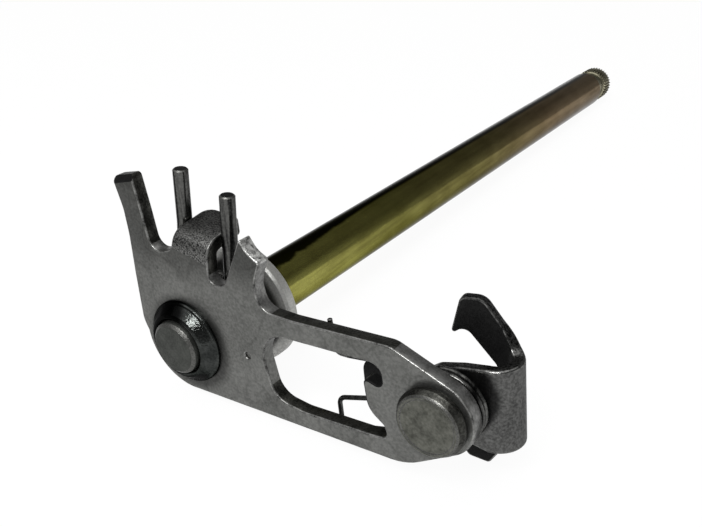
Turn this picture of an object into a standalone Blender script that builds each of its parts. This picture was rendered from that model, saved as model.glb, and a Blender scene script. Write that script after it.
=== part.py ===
"""Gear shift shaft of a small motorcycle: rod, stamped arm, return spring and hinged claw.

The pieces are modelled in the shaft's own frame: +Y runs back along the shaft, the front
face of the stamped arm lies in Y = 0, +X points to the claw and +Z to the arm's finger.
The whole assembly then rolls down onto the flat surface that it rests on.
"""
import math

import bmesh
import bpy
import numpy as np
from mathutils import Matrix, Vector

MM = 0.001
MERGE = 0.00001

# Clearances and cuts
FIT_GAP = 0.3 * MM
OVERRUN = 2.0 * MM

# Shaft
SHAFT_RADIUS = 6.0 * MM
SHAFT_LENGTH = 220.0 * MM
STUB_LENGTH = 3.7 * MM
STUB_RADIUS = 5.7 * MM
STUB_CHAMFER = 0.7 * MM
NECK_RADIUS = 4.9 * MM
NECK_LENGTH = 4.2 * MM
SPLINE_RADIUS = 5.8 * MM
SPLINE_LENGTH = 6.6 * MM
SPLINE_TOOTH_HEIGHT = 0.45 * MM
SPLINE_CHAMFER = 0.5 * MM
SPLINE_TEETH = 36
TOOTH_ROOT_SHARE = 0.30
TOOTH_TIP_SHARE = 0.12

# Flared boss on the arm's front
BOSS_RADIUS = 8.3 * MM
BOSS_HEIGHT = 2.7 * MM
BOSS_FLARE_SHARE = 0.88
BOSS_LIP_SHARE = 0.80

# Stamped arm
ARM_THICKNESS = 2.6 * MM
ARM_REACH = 53.0 * MM
RIVET_ANGLE = math.radians(-11.6)
HEEL_RADIUS = 10.2 * MM
HEEL_ARC = (math.radians(-98.0), math.radians(-190.0))
ARM_END_RADIUS = 6.8 * MM
ARM_END_ARC = (math.radians(54.0), math.radians(-76.0))
FINGER_BEVEL = 1.0 * MM
FINGER_BEVEL_ANGLE = math.radians(60.0)
DIMPLE_RADIUS = 0.6 * MM
DIMPLE_DEPTH = 0.5 * MM
DIMPLE_PLACE_SHARES = (0.282, -0.042)

# Bent tab between the legs of the return spring
TAB_ANGLE = math.radians(18.0)
TAB_WIDTH = 8.4 * MM
TAB_OFFSET = 1.85 * MM
TAB_ROOT_HEIGHT = 18.8 * MM
TAB_REACH = 9.9 * MM
TAB_RISE = math.radians(6.0)
TAB_BEND_RADIUS = 0.8 * MM
TAB_CORNER = 2.2 * MM

# Return spring and the collar behind it
SPRING_WIRE_RADIUS = 1.42 * MM
SPRING_RADIUS = 8.6 * MM
SPRING_TURNS = 2.5
SPRING_PITCH = 3.66 * MM
LEFT_LEG_TOP = 31.9 * MM
RIGHT_LEG_TOP = 30.3 * MM
LEFT_LEG_SETBACK = 1.15 * MM
LEG_SWEEP_SHARES = (0.25, 0.60)
COLLAR_RADIUS = 12.3 * MM
COLLAR_THICKNESS = 3.2 * MM
COLLAR_CHAMFER = 0.5 * MM

# Pawl rivet
RIVET_HEAD_RADIUS = 6.0 * MM
RIVET_HEAD_HEIGHT = 2.4 * MM
RIVET_HEAD_CHAMFER = 0.6 * MM
RIVET_SHANK_RADIUS = 3.4 * MM
RIVET_TAIL_RADIUS = 4.7 * MM
RIVET_TAIL_HEIGHT = 1.2 * MM

# Thin torsion spring of the pawl
PAWL_WIRE_RADIUS = 0.45 * MM
PAWL_COIL_RADIUS = 5.5 * MM
PAWL_COIL_TURNS = 1.5
PAWL_COIL_PITCH = 1.06 * MM

# Pawl: a strap folded into a U, with a forked claw as its second wing
PAWL_THICKNESS = 2.0 * MM
PAWL_FOLD_RADIUS = 2.4 * MM
PAWL_FOLD_PLACE = 5.9 * MM
PAWL_ANGLE = math.radians(-10.0)
PAWL_OVERBEND = math.radians(8.0)
PAWL_BLEND = 2.6 * MM
WING_TOP = 6.9 * MM
WING_BOTTOM = 8.3 * MM
TAIL_LENGTH = 17.1 * MM
CLAW_SPAN = 15.2 * MM

# Outline of the arm, as shares of its reach: x, z and corner radius
FINGER_SHARES = (
    (-0.176, 0.262, 0.30), (-0.130, 0.390, 0.20), (-0.108, 0.616, 0.022),
    (-0.020, 0.612, 0.018), (0.002, 0.470, 0.20), (-0.026, 0.340, 0.042),
)
NOTCH_SHARES = (
    (0.199, 0.214, 0.034), (0.276, 0.210, 0.030), (0.392, 0.362, 0.010),
    (0.404, 0.370, 0.010), (0.422, 0.320, 0.10), (0.458, 0.290, 0.010),
    (0.406, 0.214, 0.09), (0.408, 0.128, 0.042), (0.520, 0.096, 0.15),
    (0.880, 0.026, 0.075),
)
KEEL_SHARES = ((0.830, -0.384, 0.20),)
WINDOW_SHARES = (
    (0.356, 0.054, 0.098), (0.826, -0.038, 0.040), (0.816, -0.120, 0.018),
    (0.750, -0.082, 0.016), (0.738, -0.196, 0.090), (0.784, -0.250, 0.014),
    (0.786, -0.298, 0.028), (0.720, -0.289, 0.20), (0.460, -0.238, 0.14),
    (0.352, -0.196, 0.100),
)

# Outlines of the pawl's wings: x as shares of the tail or of the claw's span
TAIL_SHARES = (
    (0.06, -0.420, 0.30), (-0.36, -0.395, 0.22), (-1.0, -0.30, 0.13), (-1.0, 0.23, 0.16),
    (-0.32, 0.21, 0.20), (-0.15, 0.320, 0.12), (0.10, 0.375, 0.30),
)
CLAW_SHARES = (
    (0.205, 1.020, 0.17), (-0.045, 1.015, 0.085), (-0.178, 0.545, 0.03),
    (-0.005, 0.670, 0.11), (0.345, 0.230, 0.20),
)
LOWER_CLAW_SHARES = (
    (0.345, -0.239, 0.20), (-0.005, -0.690, 0.11), (-0.178, -0.545, 0.03),
    (-0.045, -0.985, 0.085), (0.205, -1.050, 0.17),
)
UPPER_ROOT_SHARE = 0.545
LOWER_ROOT_SHARE = 0.500

# Routes of the pawl spring's two legs, as shares of the arm's reach
UPPER_LEG_SHARES = ((0.664, -0.048, 0.030), (0.616, -0.038, 0.032), (0.628, 0.078, 0.0))
LOWER_LEG_SHARES = (
    (0.576, -0.332, 0.030), (0.534, -0.322, 0.030), (0.550, -0.226, 0.030), (0.652, -0.218, 0.0),
)

ARC_STEP = math.radians(15.0)
SHARP_ANGLE = math.radians(35.0)
TURN_STEPS = 20
ROUND_STEPS = 40
BOSS_STEPS = 5
BEND_STEPS = 6
FOLD_STEPS = 13
CORNER_STEPS = 4
DIMPLE_STEPS = 12

# Places that follow from the sizes
RIVET_PLACE = Vector((ARM_REACH * math.cos(RIVET_ANGLE), 0.0, ARM_REACH * math.sin(RIVET_ANGLE)))
RIVET_SHOULDER_RADIUS = PAWL_COIL_RADIUS - PAWL_WIRE_RADIUS - FIT_GAP
PAWL_COIL_START = ARM_THICKNESS + FIT_GAP + PAWL_WIRE_RADIUS
PAWL_COIL_END = PAWL_COIL_START + PAWL_COIL_TURNS * PAWL_COIL_PITCH
PAWL_FRONT = PAWL_COIL_END + PAWL_WIRE_RADIUS + FIT_GAP
PAWL_BACK = PAWL_FRONT + PAWL_THICKNESS
FOLD_OUTER_RADIUS = PAWL_FOLD_RADIUS + PAWL_THICKNESS
FOLD_MIDDLE = PAWL_BACK + PAWL_FOLD_RADIUS
WING_SPLIT = PAWL_BACK + PAWL_FOLD_RADIUS / 2.0
CLAW_FRONT = PAWL_BACK + 2.0 * PAWL_FOLD_RADIUS
SPRING_START = ARM_THICKNESS + FIT_GAP + SPRING_WIRE_RADIUS
SPRING_END = SPRING_START + SPRING_TURNS * SPRING_PITCH
COLLAR_START = SPRING_END + SPRING_WIRE_RADIUS + FIT_GAP
TAB_LEFT = -TAB_OFFSET
TAB_RIGHT = TAB_WIDTH - TAB_OFFSET

STEEL = (0.130, 0.130, 0.120)
PAWL_STEEL = (0.085, 0.085, 0.083)
COLLAR_STEEL = (0.330, 0.330, 0.320)
ZINC_YELLOW = (0.290, 0.260, 0.100)
WIRE_STEEL = (0.070, 0.070, 0.068)


def clear_scene():
    """Remove what a new scene starts with."""
    for item in list(bpy.data.objects):
        bpy.data.objects.remove(item, do_unlink=True)


def new_collection(name):
    """Return a collection linked to the scene."""
    collection = bpy.data.collections.new(name)
    bpy.context.scene.collection.children.link(collection)
    return collection


def material(name, color, roughness, metallic):
    """Return a Principled material."""
    result = bpy.data.materials.new(name)
    result.use_nodes = True
    shader = result.node_tree.nodes["Principled BSDF"]
    shader.inputs["Base Color"].default_value = (*color, 1.0)
    shader.inputs["Roughness"].default_value = roughness
    shader.inputs["Metallic"].default_value = metallic
    result.diffuse_color = (*color, 1.0)
    return result


def link(obj, collection, surface=None):
    """Put an object in its collection, with its material."""
    collection.objects.link(obj)
    if surface is not None:
        obj.data.materials.clear()
        obj.data.materials.append(surface)
    return obj


def as_mesh(curve_object, name):
    """Turn a curve object into a welded mesh object and remove the curve."""
    scene_collection = bpy.context.scene.collection
    scene_collection.objects.link(curve_object)
    bpy.context.view_layer.update()
    evaluated = curve_object.evaluated_get(bpy.context.evaluated_depsgraph_get())
    mesh = bpy.data.meshes.new_from_object(evaluated)
    work = bmesh.new()
    work.from_mesh(mesh)
    bmesh.ops.remove_doubles(work, verts=work.verts, dist=MERGE)
    bmesh.ops.transform(work, matrix=curve_object.matrix_world, verts=work.verts)
    bmesh.ops.recalc_face_normals(work, faces=work.faces)
    work.to_mesh(mesh)
    work.free()
    bpy.data.objects.remove(curve_object, do_unlink=True)
    return bpy.data.objects.new(name, mesh)


def rounded(corners):
    """Return the outline through corners (x, z, radius), each rounded by an arc."""
    points = []
    count = len(corners)
    for index, (x, z, radius) in enumerate(corners):
        here = Vector((x, z))
        before = Vector(corners[index - 1][:2]) - here
        after = Vector(corners[(index + 1) % count][:2]) - here
        turn = math.pi - before.angle(after)
        if radius == 0.0 or turn < ARC_STEP / 3.0:
            points.append(here)
            continue
        run = min(radius * math.tan(turn / 2.0), before.length / 2.0, after.length / 2.0)
        radius = run / math.tan(turn / 2.0)
        start = here + before.normalized() * run
        middle = (before.normalized() + after.normalized()).normalized()
        center = here + middle * radius / math.cos(turn / 2.0)
        arm = start - center
        side = 1.0 if before.x * after.y - before.y * after.x < 0.0 else -1.0
        steps = max(1, round(turn / ARC_STEP))
        for step in range(steps + 1):
            angle = side * turn * step / steps
            points.append(center + Matrix.Rotation(angle, 2) @ arm)
    return points


def scaled(shares, size):
    """Return a table of shares in metres."""
    return [tuple(value * size for value in row) for row in shares]


def arc(center, radius, start, stop):
    """Return sharp corners along an arc round a centre in the XZ plane."""
    steps = max(2, round(abs(stop - start) / ARC_STEP))
    angles = [start + (stop - start) * step / steps for step in range(steps + 1)]
    return [(center.x + radius * math.cos(a), center.z + radius * math.sin(a), 0.0) for a in angles]


def circle(x, z, radius, steps=ROUND_STEPS):
    """Return the points of a circle."""
    angles = [2.0 * math.pi * step / steps for step in range(steps)]
    return [Vector((x + radius * math.cos(a), z + radius * math.sin(a))) for a in angles]


def sheet(name, outlines, front, thickness):
    """Extrude flat outlines in the XZ plane into a sheet whose front face is at Y = front."""
    curve = bpy.data.curves.new(name, "CURVE")
    curve.dimensions = "2D"
    curve.fill_mode = "BOTH"
    curve.extrude = thickness / 2.0
    for outline in outlines:
        spline = curve.splines.new("POLY")
        spline.points.add(len(outline) - 1)
        for point, place in zip(spline.points, outline):
            point.co = (place[0], place[1], 0.0, 1.0)
        spline.use_cyclic_u = True
    holder = bpy.data.objects.new(name, curve)
    holder.matrix_world = (Matrix.Translation((0.0, front + thickness / 2.0, 0.0))
                           @ Matrix.Rotation(math.pi / 2.0, 4, "X"))
    return as_mesh(holder, name)


def turned(name, profile):
    """Turn a profile of (radius, y) pairs, front to back on its outer side, round the Y axis."""
    mesh = bpy.data.meshes.new(name)
    points = [(radius, 0.0, -y) for radius, y in profile]
    edges = [(index, index + 1) for index in range(len(points) - 1)]
    if profile[0][0] > 0.0:
        edges.append((len(points) - 1, 0))
    mesh.from_pydata(points, edges, [])
    blank = bpy.data.objects.new(name, mesh)
    screw = blank.modifiers.new("Turn", "SCREW")
    screw.axis = "Z"
    screw.angle = 2.0 * math.pi
    screw.steps = ROUND_STEPS
    screw.render_steps = ROUND_STEPS
    screw.use_merge_vertices = True
    screw.merge_threshold = MERGE
    blank.rotation_euler = (math.pi / 2.0, 0.0, 0.0)
    body = as_mesh(blank, name)
    smooth(body)
    return body


def wire(name, points, radius):
    """Sweep a round wire with flat ends along a list of points."""
    curve = bpy.data.curves.new(name, "CURVE")
    curve.dimensions = "3D"
    curve.bevel_depth = radius
    curve.bevel_resolution = 2
    curve.use_fill_caps = True
    spline = curve.splines.new("POLY")
    spline.points.add(len(points) - 1)
    for point, place in zip(spline.points, points):
        point.co = (*place, 1.0)
    return as_mesh(bpy.data.objects.new(name, curve), name)


def combine(target, tool, operation, cutters):
    """Add an exact Boolean with a hidden tool object."""
    if not tool.users_collection:
        cutters.objects.link(tool)
    tool.hide_render = True
    tool.display_type = "WIRE"
    step = target.modifiers.new(tool.name, "BOOLEAN")
    step.operation = operation
    step.solver = "EXACT"
    step.object = tool


def smooth(obj):
    """Shade the round faces of a mesh smooth."""
    obj.data.shade_smooth()
    obj.data.set_sharp_from_angle(angle=SHARP_ANGLE)


def leg_frame(u, y, w):
    """Place a point given across the tab, along the shaft and out from the shaft."""
    return Vector((u * math.cos(TAB_ANGLE) + w * math.sin(TAB_ANGLE), y,
                   w * math.cos(TAB_ANGLE) - u * math.sin(TAB_ANGLE)))


def shift_shaft(parts, cutters, surface):
    """Rod with a chamfered front stub, and a neck and a fine spline at its far end."""
    spline_start = SHAFT_LENGTH - SPLINE_LENGTH
    neck_start = spline_start - NECK_LENGTH
    root = SPLINE_RADIUS - SPLINE_TOOTH_HEIGHT
    shoulder = SHAFT_RADIUS - NECK_RADIUS
    profile = [
        (0.0, -STUB_LENGTH), (STUB_RADIUS - STUB_CHAMFER, -STUB_LENGTH),
        (STUB_RADIUS, -STUB_LENGTH + STUB_CHAMFER), (SHAFT_RADIUS, 0.0),
        (SHAFT_RADIUS, neck_start - shoulder),
        (NECK_RADIUS, neck_start), (NECK_RADIUS, spline_start), (root, spline_start + SPLINE_CHAMFER),
        (root, SHAFT_LENGTH), (0.0, SHAFT_LENGTH),
    ]
    body = turned("shift_shaft", profile)
    link(body, parts, surface)
    foot = root - SPLINE_TOOTH_HEIGHT / 4.0
    corners = ((-TOOTH_ROOT_SHARE, foot), (-TOOTH_TIP_SHARE, SPLINE_RADIUS),
               (TOOTH_TIP_SHARE, SPLINE_RADIUS), (TOOTH_ROOT_SHARE, foot))
    outline = []
    for tooth in range(SPLINE_TEETH):
        for share, radius in corners:
            angle = 2.0 * math.pi * (tooth + share) / SPLINE_TEETH
            outline.append((radius * math.cos(angle), radius * math.sin(angle)))
    teeth = sheet("spline_teeth", [outline], spline_start + SPLINE_CHAMFER,
                  SPLINE_LENGTH - 2.0 * SPLINE_CHAMFER)
    combine(body, teeth, "UNION", cutters)
    return body


def front_boss(parts, surface):
    """Flared ring that seats the shaft on the arm's front face."""
    bore = SHAFT_RADIUS + FIT_GAP
    flare = BOSS_RADIUS - bore
    profile = []
    for step in range(BOSS_STEPS + 1):
        angle = math.pi / 2.0 * step / BOSS_STEPS
        profile.append((BOSS_RADIUS - flare * BOSS_FLARE_SHARE * math.cos(angle),
                        -FIT_GAP - BOSS_HEIGHT + BOSS_HEIGHT * BOSS_LIP_SHARE * math.sin(angle)))
    profile.append((BOSS_RADIUS, -FIT_GAP))
    profile.append((bore, -FIT_GAP))
    profile.append((bore, -FIT_GAP - BOSS_HEIGHT))
    return link(turned("front_boss", profile), parts, surface)


def tab_solid(name):
    """Tab bent back from the arm, with round rear corners."""
    outer = TAB_BEND_RADIUS + ARM_THICKNESS
    inner = TAB_BEND_RADIUS
    foot = TAB_ROOT_HEIGHT - ARM_THICKNESS
    bend = math.pi / 2.0 - TAB_RISE
    angles = [bend * step / BEND_STEPS for step in range(BEND_STEPS + 1)]
    over = [(outer - outer * math.cos(a), TAB_ROOT_HEIGHT + outer * math.sin(a)) for a in angles]
    under = [(outer - inner * math.cos(a), TAB_ROOT_HEIGHT + inner * math.sin(a)) for a in angles]
    rear = [(TAB_REACH, w + (TAB_REACH - y) * math.tan(TAB_RISE)) for y, w in (over[-1], under[-1])]
    profile = [(0.0, foot)] + over + rear + under[::-1] + [(ARM_THICKNESS, foot)]
    bm = bmesh.new()
    rows = []
    for u in (TAB_LEFT, TAB_RIGHT):
        rows.append([bm.verts.new(leg_frame(u, y, w)) for y, w in profile])
    count = len(profile)
    for index in range(count):
        after = (index + 1) % count
        bm.faces.new((rows[0][index], rows[0][after], rows[1][after], rows[1][index]))
    bm.faces.new(rows[0])
    bm.faces.new(rows[1])
    bmesh.ops.recalc_face_normals(bm, faces=bm.faces)
    across = leg_frame(1.0, 0.0, 0.0)
    ends = [e for e in bm.edges
            if all(abs(v.co.y - TAB_REACH) < MERGE for v in e.verts)
            and abs((e.verts[0].co - e.verts[1].co).dot(across)) < MERGE]
    bmesh.ops.bevel(bm, geom=ends, offset=TAB_CORNER, segments=CORNER_STEPS, profile=0.5,
                    affect="EDGES")
    mesh = bpy.data.meshes.new(name)
    bm.to_mesh(mesh)
    bm.free()
    return bpy.data.objects.new(name, mesh)


def finger_bevel(name):
    """Wedge that bevels the front edge of the finger's end."""
    top = max(row[1] for row in FINGER_SHARES) * ARM_REACH
    left = min(row[0] for row in FINGER_SHARES) * ARM_REACH
    bm = bmesh.new()
    bmesh.ops.create_cube(bm, size=1.0)
    bmesh.ops.scale(bm, vec=(2.0 * abs(left), OVERRUN, 2.0 * OVERRUN), verts=bm.verts)
    bmesh.ops.translate(bm, vec=(0.0, -OVERRUN / 2.0, 0.0), verts=bm.verts)
    bmesh.ops.rotate(bm, matrix=Matrix.Rotation(-FINGER_BEVEL_ANGLE, 3, "X"), verts=bm.verts)
    bmesh.ops.translate(bm, vec=(left / 2.0, 0.0, top - FINGER_BEVEL), verts=bm.verts)
    mesh = bpy.data.meshes.new(name)
    bm.to_mesh(mesh)
    bm.free()
    return bpy.data.objects.new(name, mesh)


def shift_arm(parts, cutters, surface):
    """Stamped arm with its finger, notches, window, bent tab and bores."""
    center = Vector((0.0, 0.0, 0.0))
    root_left = leg_frame(TAB_LEFT, 0.0, TAB_ROOT_HEIGHT)
    root_right = leg_frame(TAB_RIGHT, 0.0, TAB_ROOT_HEIGHT)
    corners = arc(center, HEEL_RADIUS, *HEEL_ARC)
    corners += scaled(FINGER_SHARES, ARM_REACH)
    corners += [(root_left.x, root_left.z, 0.0), (root_right.x, root_right.z, 0.0)]
    corners += scaled(NOTCH_SHARES, ARM_REACH)
    corners += arc(RIVET_PLACE, ARM_END_RADIUS, *ARM_END_ARC)
    corners += scaled(KEEL_SHARES, ARM_REACH)
    outlines = [
        rounded(corners),
        rounded(scaled(WINDOW_SHARES, ARM_REACH)),
        circle(0.0, 0.0, SHAFT_RADIUS + FIT_GAP),
        circle(RIVET_PLACE.x, RIVET_PLACE.z, RIVET_SHANK_RADIUS + FIT_GAP),
    ]
    body = sheet("shift_arm", outlines, 0.0, ARM_THICKNESS)
    link(body, parts, surface)
    combine(body, tab_solid("tab_form"), "UNION", cutters)
    combine(body, finger_bevel("finger_bevel"), "DIFFERENCE", cutters)
    x_share, z_share = DIMPLE_PLACE_SHARES
    ring = circle(x_share * ARM_REACH, z_share * ARM_REACH, DIMPLE_RADIUS, DIMPLE_STEPS)
    dimple = sheet("dimple_cut", [ring], DIMPLE_DEPTH - OVERRUN, OVERRUN)
    combine(body, dimple, "DIFFERENCE", cutters)
    return body


def smooth_route(points, spacing):
    """Return evenly spaced points along a smooth curve through a list of points."""
    places = [np.array(p) for p in points]
    places = [2.0 * places[0] - places[1]] + places + [2.0 * places[-1] - places[-2]]
    route = []
    for a, b, c, d in zip(places, places[1:], places[2:], places[3:]):
        steps = max(1, round(float(np.linalg.norm(c - b)) / spacing))
        for step in range(steps):
            t = step / steps
            route.append(0.5 * (2.0 * b + (c - a) * t + (2.0 * a - 5.0 * b + 4.0 * c - d) * t * t
                                + (3.0 * b - a - 3.0 * c + d) * t ** 3))
    route.append(places[-2])
    return [Vector(p) for p in route]


def return_spring(parts, surface):
    """Torsion spring round the shaft, with two straight legs that grip the tab."""
    steps = round(SPRING_TURNS * TURN_STEPS)
    coil = []
    for step in range(steps + 1):
        angle = -2.0 * math.pi * step / TURN_STEPS
        y = SPRING_START + SPRING_PITCH * step / TURN_STEPS
        coil.append(leg_frame(SPRING_RADIUS * math.cos(angle), y, SPRING_RADIUS * math.sin(angle)))
    right_u = TAB_RIGHT + FIT_GAP + SPRING_WIRE_RADIUS
    left_u = TAB_LEFT - FIT_GAP - SPRING_WIRE_RADIUS
    left_y = SPRING_START + LEFT_LEG_SETBACK
    right = [leg_frame(right_u, SPRING_START, RIGHT_LEG_TOP),
             leg_frame(right_u, SPRING_START, SPRING_RADIUS)]
    rise = [SPRING_RADIUS * share for share in LEG_SWEEP_SHARES]
    sweep = smooth_route([leg_frame(-SPRING_RADIUS, SPRING_END, rise[0]),
                          leg_frame(-SPRING_RADIUS, SPRING_END, rise[1]),
                          leg_frame((left_u - SPRING_RADIUS) / 2.0, (SPRING_END + left_y) / 2.0,
                                    (SPRING_RADIUS + TAB_ROOT_HEIGHT) / 2.0),
                          leg_frame(left_u, left_y, TAB_ROOT_HEIGHT),
                          leg_frame(left_u, left_y, TAB_ROOT_HEIGHT + ARM_THICKNESS)],
                         SPRING_WIRE_RADIUS)
    left = sweep + [leg_frame(left_u, left_y, LEFT_LEG_TOP)]
    body = wire("return_spring", right + coil + left, SPRING_WIRE_RADIUS)
    smooth(body)
    return link(body, parts, surface)


def spring_collar(parts, surface):
    """Disc on the shaft that closes the return spring's coil from behind."""
    bore = SHAFT_RADIUS + FIT_GAP
    back = COLLAR_START + COLLAR_THICKNESS
    edge = COLLAR_RADIUS - COLLAR_CHAMFER
    profile = [
        (bore, COLLAR_START), (edge, COLLAR_START), (COLLAR_RADIUS, COLLAR_START + COLLAR_CHAMFER),
        (COLLAR_RADIUS, back - COLLAR_CHAMFER), (edge, back), (bore, back),
    ]
    return link(turned("spring_collar", profile), parts, surface)


def pawl_rivet(parts, surface):
    """Rivet with a broad flat head, a shoulder for the thin spring and a tail head."""
    head_back = -FIT_GAP
    head_front = head_back - RIVET_HEAD_HEIGHT
    shank = RIVET_SHANK_RADIUS
    shoulder_front = ARM_THICKNESS + FIT_GAP
    shoulder_back = PAWL_FRONT - FIT_GAP
    tail_front = PAWL_BACK + FIT_GAP
    tail_back = tail_front + RIVET_TAIL_HEIGHT
    chamfer = RIVET_HEAD_CHAMFER
    profile = [
        (0.0, head_front), (RIVET_HEAD_RADIUS - chamfer, head_front),
        (RIVET_HEAD_RADIUS, head_front + chamfer), (RIVET_HEAD_RADIUS, head_back), (shank, head_back),
        (shank, shoulder_front), (RIVET_SHOULDER_RADIUS, shoulder_front),
        (RIVET_SHOULDER_RADIUS, shoulder_back), (shank, shoulder_back), (shank, tail_front),
        (RIVET_TAIL_RADIUS, tail_front), (RIVET_TAIL_RADIUS, tail_back - chamfer),
        (RIVET_TAIL_RADIUS - chamfer, tail_back), (0.0, tail_back),
    ]
    body = turned("pawl_rivet", profile)
    body.location = RIVET_PLACE
    return link(body, parts, surface)


def bent_leg(start, corners, y):
    """Return a leg's points: from the coil through rounded corners (x, z, radius)."""
    rows = [(start.x, start.z, 0.0)] + list(corners)
    return [Vector((p[0], y, p[1])) for p in rounded(rows)]


def pawl_spring(parts, surface):
    """Thin torsion spring round the rivet, with two bent legs in and above the window."""
    steps = round(PAWL_COIL_TURNS * TURN_STEPS)
    coil = []
    for step in range(steps + 1):
        angle = math.pi / 2.0 - 2.0 * math.pi * step / TURN_STEPS
        y = PAWL_COIL_START + PAWL_COIL_PITCH * step / TURN_STEPS
        coil.append(RIVET_PLACE + Vector((PAWL_COIL_RADIUS * math.cos(angle), y,
                                          PAWL_COIL_RADIUS * math.sin(angle))))
    upper = bent_leg(coil[0], scaled(UPPER_LEG_SHARES, ARM_REACH), PAWL_COIL_START)
    lower = bent_leg(coil[-1], scaled(LOWER_LEG_SHARES, ARM_REACH), PAWL_COIL_END)
    body = wire("pawl_spring", list(reversed(upper[1:])) + coil + lower[1:], PAWL_WIRE_RADIUS)
    smooth(body)
    return link(body, parts, surface)


def folded_strap(name, reach, height):
    """Strap folded into a U, seen from above as (x, y), and as tall as height each way."""
    turn = math.pi + PAWL_OVERBEND
    angles = [turn * step / FOLD_STEPS - math.pi / 2.0 for step in range(FOLD_STEPS + 1)]
    outer = [(PAWL_FOLD_PLACE + FOLD_OUTER_RADIUS * math.cos(a),
              FOLD_MIDDLE + FOLD_OUTER_RADIUS * math.sin(a)) for a in angles]
    inner = [(PAWL_FOLD_PLACE + PAWL_FOLD_RADIUS * math.cos(a),
              FOLD_MIDDLE + PAWL_FOLD_RADIUS * math.sin(a)) for a in angles]
    run = Vector((-math.cos(PAWL_OVERBEND), -math.sin(PAWL_OVERBEND))) * (CLAW_SPAN + OVERRUN)
    ends = [(row[-1][0] + run.x, row[-1][1] + run.y) for row in (outer, inner)]
    outline = [(-reach, PAWL_FRONT)] + outer + ends + inner[::-1] + [(-reach, PAWL_BACK)]
    strap = sheet(name, [outline], -height, 2.0 * height)
    strap.data.transform(Matrix.Rotation(-math.pi / 2.0, 4, "X"))
    return strap


def shift_pawl(parts, cutters, surface):
    """Folded strap: the first wing turns on the rivet, the second is a forked claw."""
    reach = TAIL_LENGTH + OVERRUN
    height = CLAW_SPAN * max(abs(row[1]) for row in CLAW_SHARES + LOWER_CLAW_SHARES) + OVERRUN
    beyond = PAWL_FOLD_PLACE + FOLD_OUTER_RADIUS + OVERRUN
    wing = [(beyond, -WING_BOTTOM, 0.0), (PAWL_FOLD_PLACE, -WING_BOTTOM, PAWL_BLEND)]
    wing += scaled(TAIL_SHARES, TAIL_LENGTH)
    wing += [(PAWL_FOLD_PLACE, WING_TOP, PAWL_BLEND), (beyond, WING_TOP, 0.0)]
    first = sheet("first_wing_form", [rounded(wing), circle(0.0, 0.0, RIVET_SHANK_RADIUS + FIT_GAP)],
                  PAWL_FRONT - OVERRUN, WING_SPLIT - PAWL_FRONT + OVERRUN)
    fork = [(beyond, WING_TOP, 0.0), (UPPER_ROOT_SHARE * CLAW_SPAN, WING_TOP, PAWL_BLEND)]
    fork += scaled(CLAW_SHARES + LOWER_CLAW_SHARES, CLAW_SPAN)
    fork += [(LOWER_ROOT_SHARE * CLAW_SPAN, -WING_BOTTOM, PAWL_BLEND), (beyond, -WING_BOTTOM, 0.0)]
    claw_front = WING_SPLIT - FIT_GAP
    second = sheet("claw_form", [rounded(fork)], claw_front,
                   CLAW_FRONT + PAWL_THICKNESS + OVERRUN - claw_front)
    body = folded_strap("shift_pawl", reach, height)
    link(body, parts, surface)
    combine(first, second, "UNION", cutters)
    combine(body, first, "INTERSECT", cutters)
    for tool in (first, second):
        tool.parent = body
    body.location = RIVET_PLACE
    body.rotation_euler = (0.0, -PAWL_ANGLE, 0.0)
    return body


def world_points(objects):
    """Return the corners and triangles of the objects as the view layer shows them."""
    bpy.context.view_layer.update()
    graph = bpy.context.evaluated_depsgraph_get()
    places, faces = [], []
    for obj in objects:
        evaluated = obj.evaluated_get(graph)
        mesh = evaluated.to_mesh()
        mesh.calc_loop_triangles()
        first = len(places)
        places += [evaluated.matrix_world @ vertex.co for vertex in mesh.vertices]
        faces += [[first + index for index in tri.vertices] for tri in mesh.loop_triangles]
        evaluated.to_mesh_clear()
    return np.array(places), np.array(faces)


def center_of_mass(places, faces):
    """Return the centroid of closed solids of one density."""
    a, b, c = (places[faces[:, index]] for index in range(3))
    volumes = np.einsum("ij,ij->i", a, np.cross(b, c))
    return ((a + b + c) * volumes[:, None]).sum(axis=0) / (4.0 * volumes.sum())


def settle(root, objects):
    """Roll the assembly down onto the plane that it rests on, and stand the root above it."""
    places, faces = world_points(objects)
    mass = center_of_mass(places, faces)
    hull = bmesh.new()
    for place in places:
        hull.verts.new(place)
    bmesh.ops.convex_hull(hull, input=hull.verts)
    planes = np.array([(*face.normal, face.normal.dot(face.verts[0].co)) for face in hull.faces
                       if face.calc_area() > MERGE * MM])
    hull.free()
    down = np.array((0.0, 0.0, -1.0))
    for _ in range(len(planes)):
        facing = planes[:, :3] @ down
        height = (planes[:, 3] - planes[:, :3] @ mass) / np.maximum(facing, MERGE)
        found = planes[int(np.where(facing > MERGE, height, np.inf).argmin()), :3]
        if np.allclose(found, down, atol=MERGE):
            break
        down = found
    turn = Vector(down).rotation_difference(Vector((0.0, 0.0, -1.0))).to_matrix()
    heading = turn @ Vector((0.0, 1.0, 0.0))
    turn = Matrix.Rotation(math.atan2(heading.x, heading.y), 3, "Z") @ turn
    turned_places = places @ np.array(turn).T
    low, high = turned_places.min(axis=0), turned_places.max(axis=0)
    middle = (low + high) / 2.0
    root.matrix_world = Matrix.Translation((-middle[0], -middle[1], -low[2])) @ turn.to_4x4()


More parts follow.
